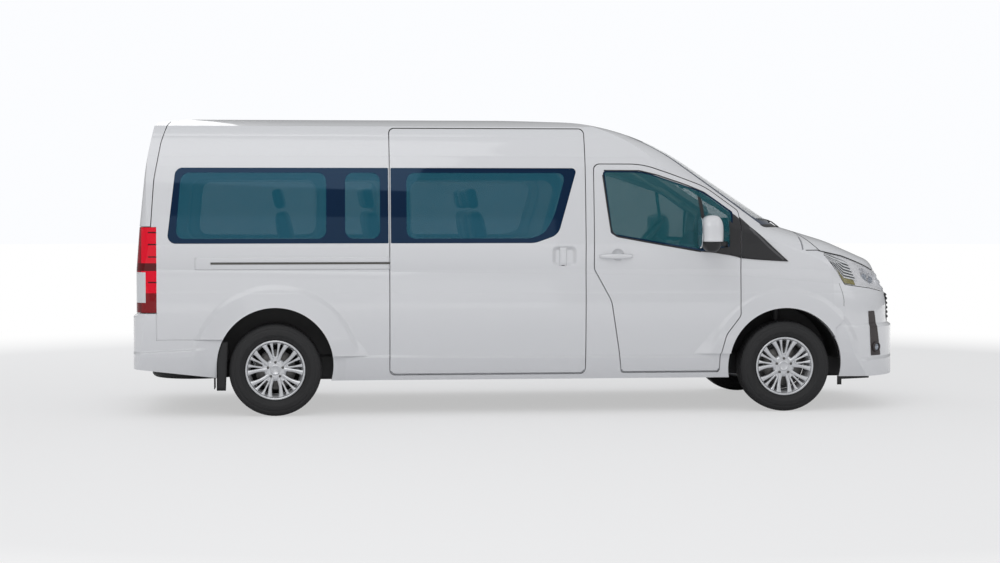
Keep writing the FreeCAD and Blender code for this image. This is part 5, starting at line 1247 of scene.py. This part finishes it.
def pillow(size, squareness=0.32, rows=40, columns=64):
    """A closed rounded block: a sphere whose sines and cosines are raised to a small power."""
    rise = np.linspace(-np.pi / 2, np.pi / 2, rows)[None, :]
    turn = np.linspace(0.0, 2.0 * np.pi, columns, endpoint=False)[:, None]
    ring = power(np.cos(rise), squareness)
    return np.stack([size[0] / 2 * ring * power(np.cos(turn), squareness),
                     size[1] / 2 * ring * power(np.sin(turn), squareness),
                     size[2] / 2 * power(np.sin(rise), squareness) * np.ones((columns, 1))], -1)


def blown(name, size, voxel, cap):
    """The points and faces of a pillow after the foam has swelled its cover: remeshed, pressed outwards
    as cloth for 20 frames, with no point moved further than cap."""
    grid = pillow(size)
    rows, columns = grid.shape[:2]
    index = np.arange(rows * columns).reshape(rows, columns)
    mesh = bpy.data.meshes.new(name)
    mesh.from_pydata(grid.reshape(-1, 3).tolist(), [], cells(np.vstack([index, index[:1]])).tolist())
    work = bmesh.new()
    work.from_mesh(mesh)
    bmesh.ops.remove_doubles(work, verts=work.verts, dist=1e-5)
    bmesh.ops.recalc_face_normals(work, faces=work.faces)
    work.to_mesh(mesh)
    work.free()
    cover = bpy.data.objects.new(name, mesh)
    bpy.context.scene.collection.objects.link(cover)
    remesh = cover.modifiers.new("even", "REMESH")
    remesh.mode = "VOXEL"
    remesh.voxel_size = voxel
    even = bpy.data.meshes.new_from_object(cover.evaluated_get(bpy.context.evaluated_depsgraph_get()))
    cover.modifiers.clear()
    cover.data = even
    start = np.zeros(len(even.vertices) * 3)
    even.vertices.foreach_get("co", start)
    start = start.reshape(-1, 3)
    points = start
    cloth = cover.modifiers.new("cloth", "CLOTH")
    cloth.settings.use_pressure = True
    cloth.settings.uniform_pressure_force = 4.0
    cloth.settings.effector_weights.gravity = 0.0
    for step in range(1, 21):
        bpy.context.scene.frame_set(step)
    depsgraph = bpy.context.evaluated_depsgraph_get()
    swollen = bpy.data.meshes.new_from_object(cover.evaluated_get(depsgraph))
    points = np.zeros(len(swollen.vertices) * 3)
    swollen.vertices.foreach_get("co", points)
    points = points.reshape(-1, 3)
    bpy.context.scene.frame_set(1)
    cover.modifiers.clear()
    moved = points - start
    far = np.linalg.norm(moved, axis=1)[:, None]
    points = start + moved * np.minimum(1.0, cap / np.maximum(far, 1e-9))
    faces = [list(face.vertices) for face in even.polygons]
    bpy.data.objects.remove(cover)
    return points, faces


def channels(points, lines, depth, face_sign, axis, normal):
    """Sewn channels: points near each line along an axis are drawn in, as a narrow bell of the distance."""
    points = points.copy()
    outer = np.clip(points[:, normal] * face_sign / max(np.abs(points[:, normal]).max(), 1e-9), 0.0, 1.0) ** 2
    for place in lines:
        bell = np.exp(-((points[:, axis] - place) / 0.009) ** 2)
        points[:, normal] -= face_sign * depth * bell * outer
    return points


seat_cloth = weave_cloth("seat_cloth", (0.075, 0.085, 0.098))
cushion_points, cushion_faces = blown("cushion", (0.432, 0.412, 0.112), 0.010, 0.012)
cushion_points = channels(cushion_points, (-0.105, 0.105), 0.010, 1.0, 1, 2)
cushion_points = channels(cushion_points, (-0.080, 0.075), 0.007, 1.0, 0, 2)
back_points, back_faces = blown("back", (0.094, 0.412, 0.700), 0.010, 0.012)
back_points = channels(back_points, (-0.110, 0.110), 0.010, 1.0, 1, 0)
back_points = channels(back_points, (-0.120, 0.060, 0.230), 0.007, 1.0, 2, 0)
rest_points, rest_faces = blown("rest", (0.070, 0.236, 0.150), 0.009, 0.007)
# Columns: x of the back's foot, y of the seat's middle
seat_places = ((0.640, 0.430), (0.640, -0.150), (0.640, -0.600), (-0.230, 0.600), (-0.230, 0.155),
               (-0.230, -0.580), (-1.020, 0.600), (-1.020, 0.155), (-1.020, -0.580), (-1.700, 0.432),
               (-1.700, 0.0), (-1.700, -0.432))
seat_top = 0.960
back_origin = 0.970
back_lean = math.radians(12.0)


def leaned(points, middle_x, middle_z):
    """Points about a part's own middle, carried up the leaning back."""
    x = points[:, 0] + middle_x
    z = points[:, 2] + middle_z
    return np.stack([x * math.cos(back_lean) - z * math.sin(back_lean), points[:, 1],
                     x * math.sin(back_lean) + z * math.cos(back_lean)], -1)


def soft_piece(name, points, faces, node):
    """A padded piece in its place, riding on the floor of the body."""
    mesh = bpy.data.meshes.new(name)
    mesh.from_pydata(points.tolist(), [], faces)
    mesh.polygons.foreach_set("use_smooth", np.ones(len(mesh.polygons), bool))
    piece = bpy.data.objects.new(name, mesh)
    bpy.context.scene.collection.objects.link(piece)
    mesh.materials.append(seat_cloth)
    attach(piece, "root")
    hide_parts(node)


for number, (x, y) in enumerate(seat_places):
    base = np.array([x, y, 0.0])
    hinge = base + [0.0, 0.0, back_origin]
    soft_piece(f"seat_cushion_{number}", cushion_points + base + [0.2425, 0.0, seat_top - 0.065],
               cushion_faces, "seat_cushions")
    soft_piece(f"seat_back_{number}", leaned(back_points, -0.055, 0.237) + hinge, back_faces,
               "seat_backs")
    soft_piece(f"head_restraint_{number}", leaned(rest_points, -0.050, 0.678) + hinge, rest_faces,
               "seat_backs")
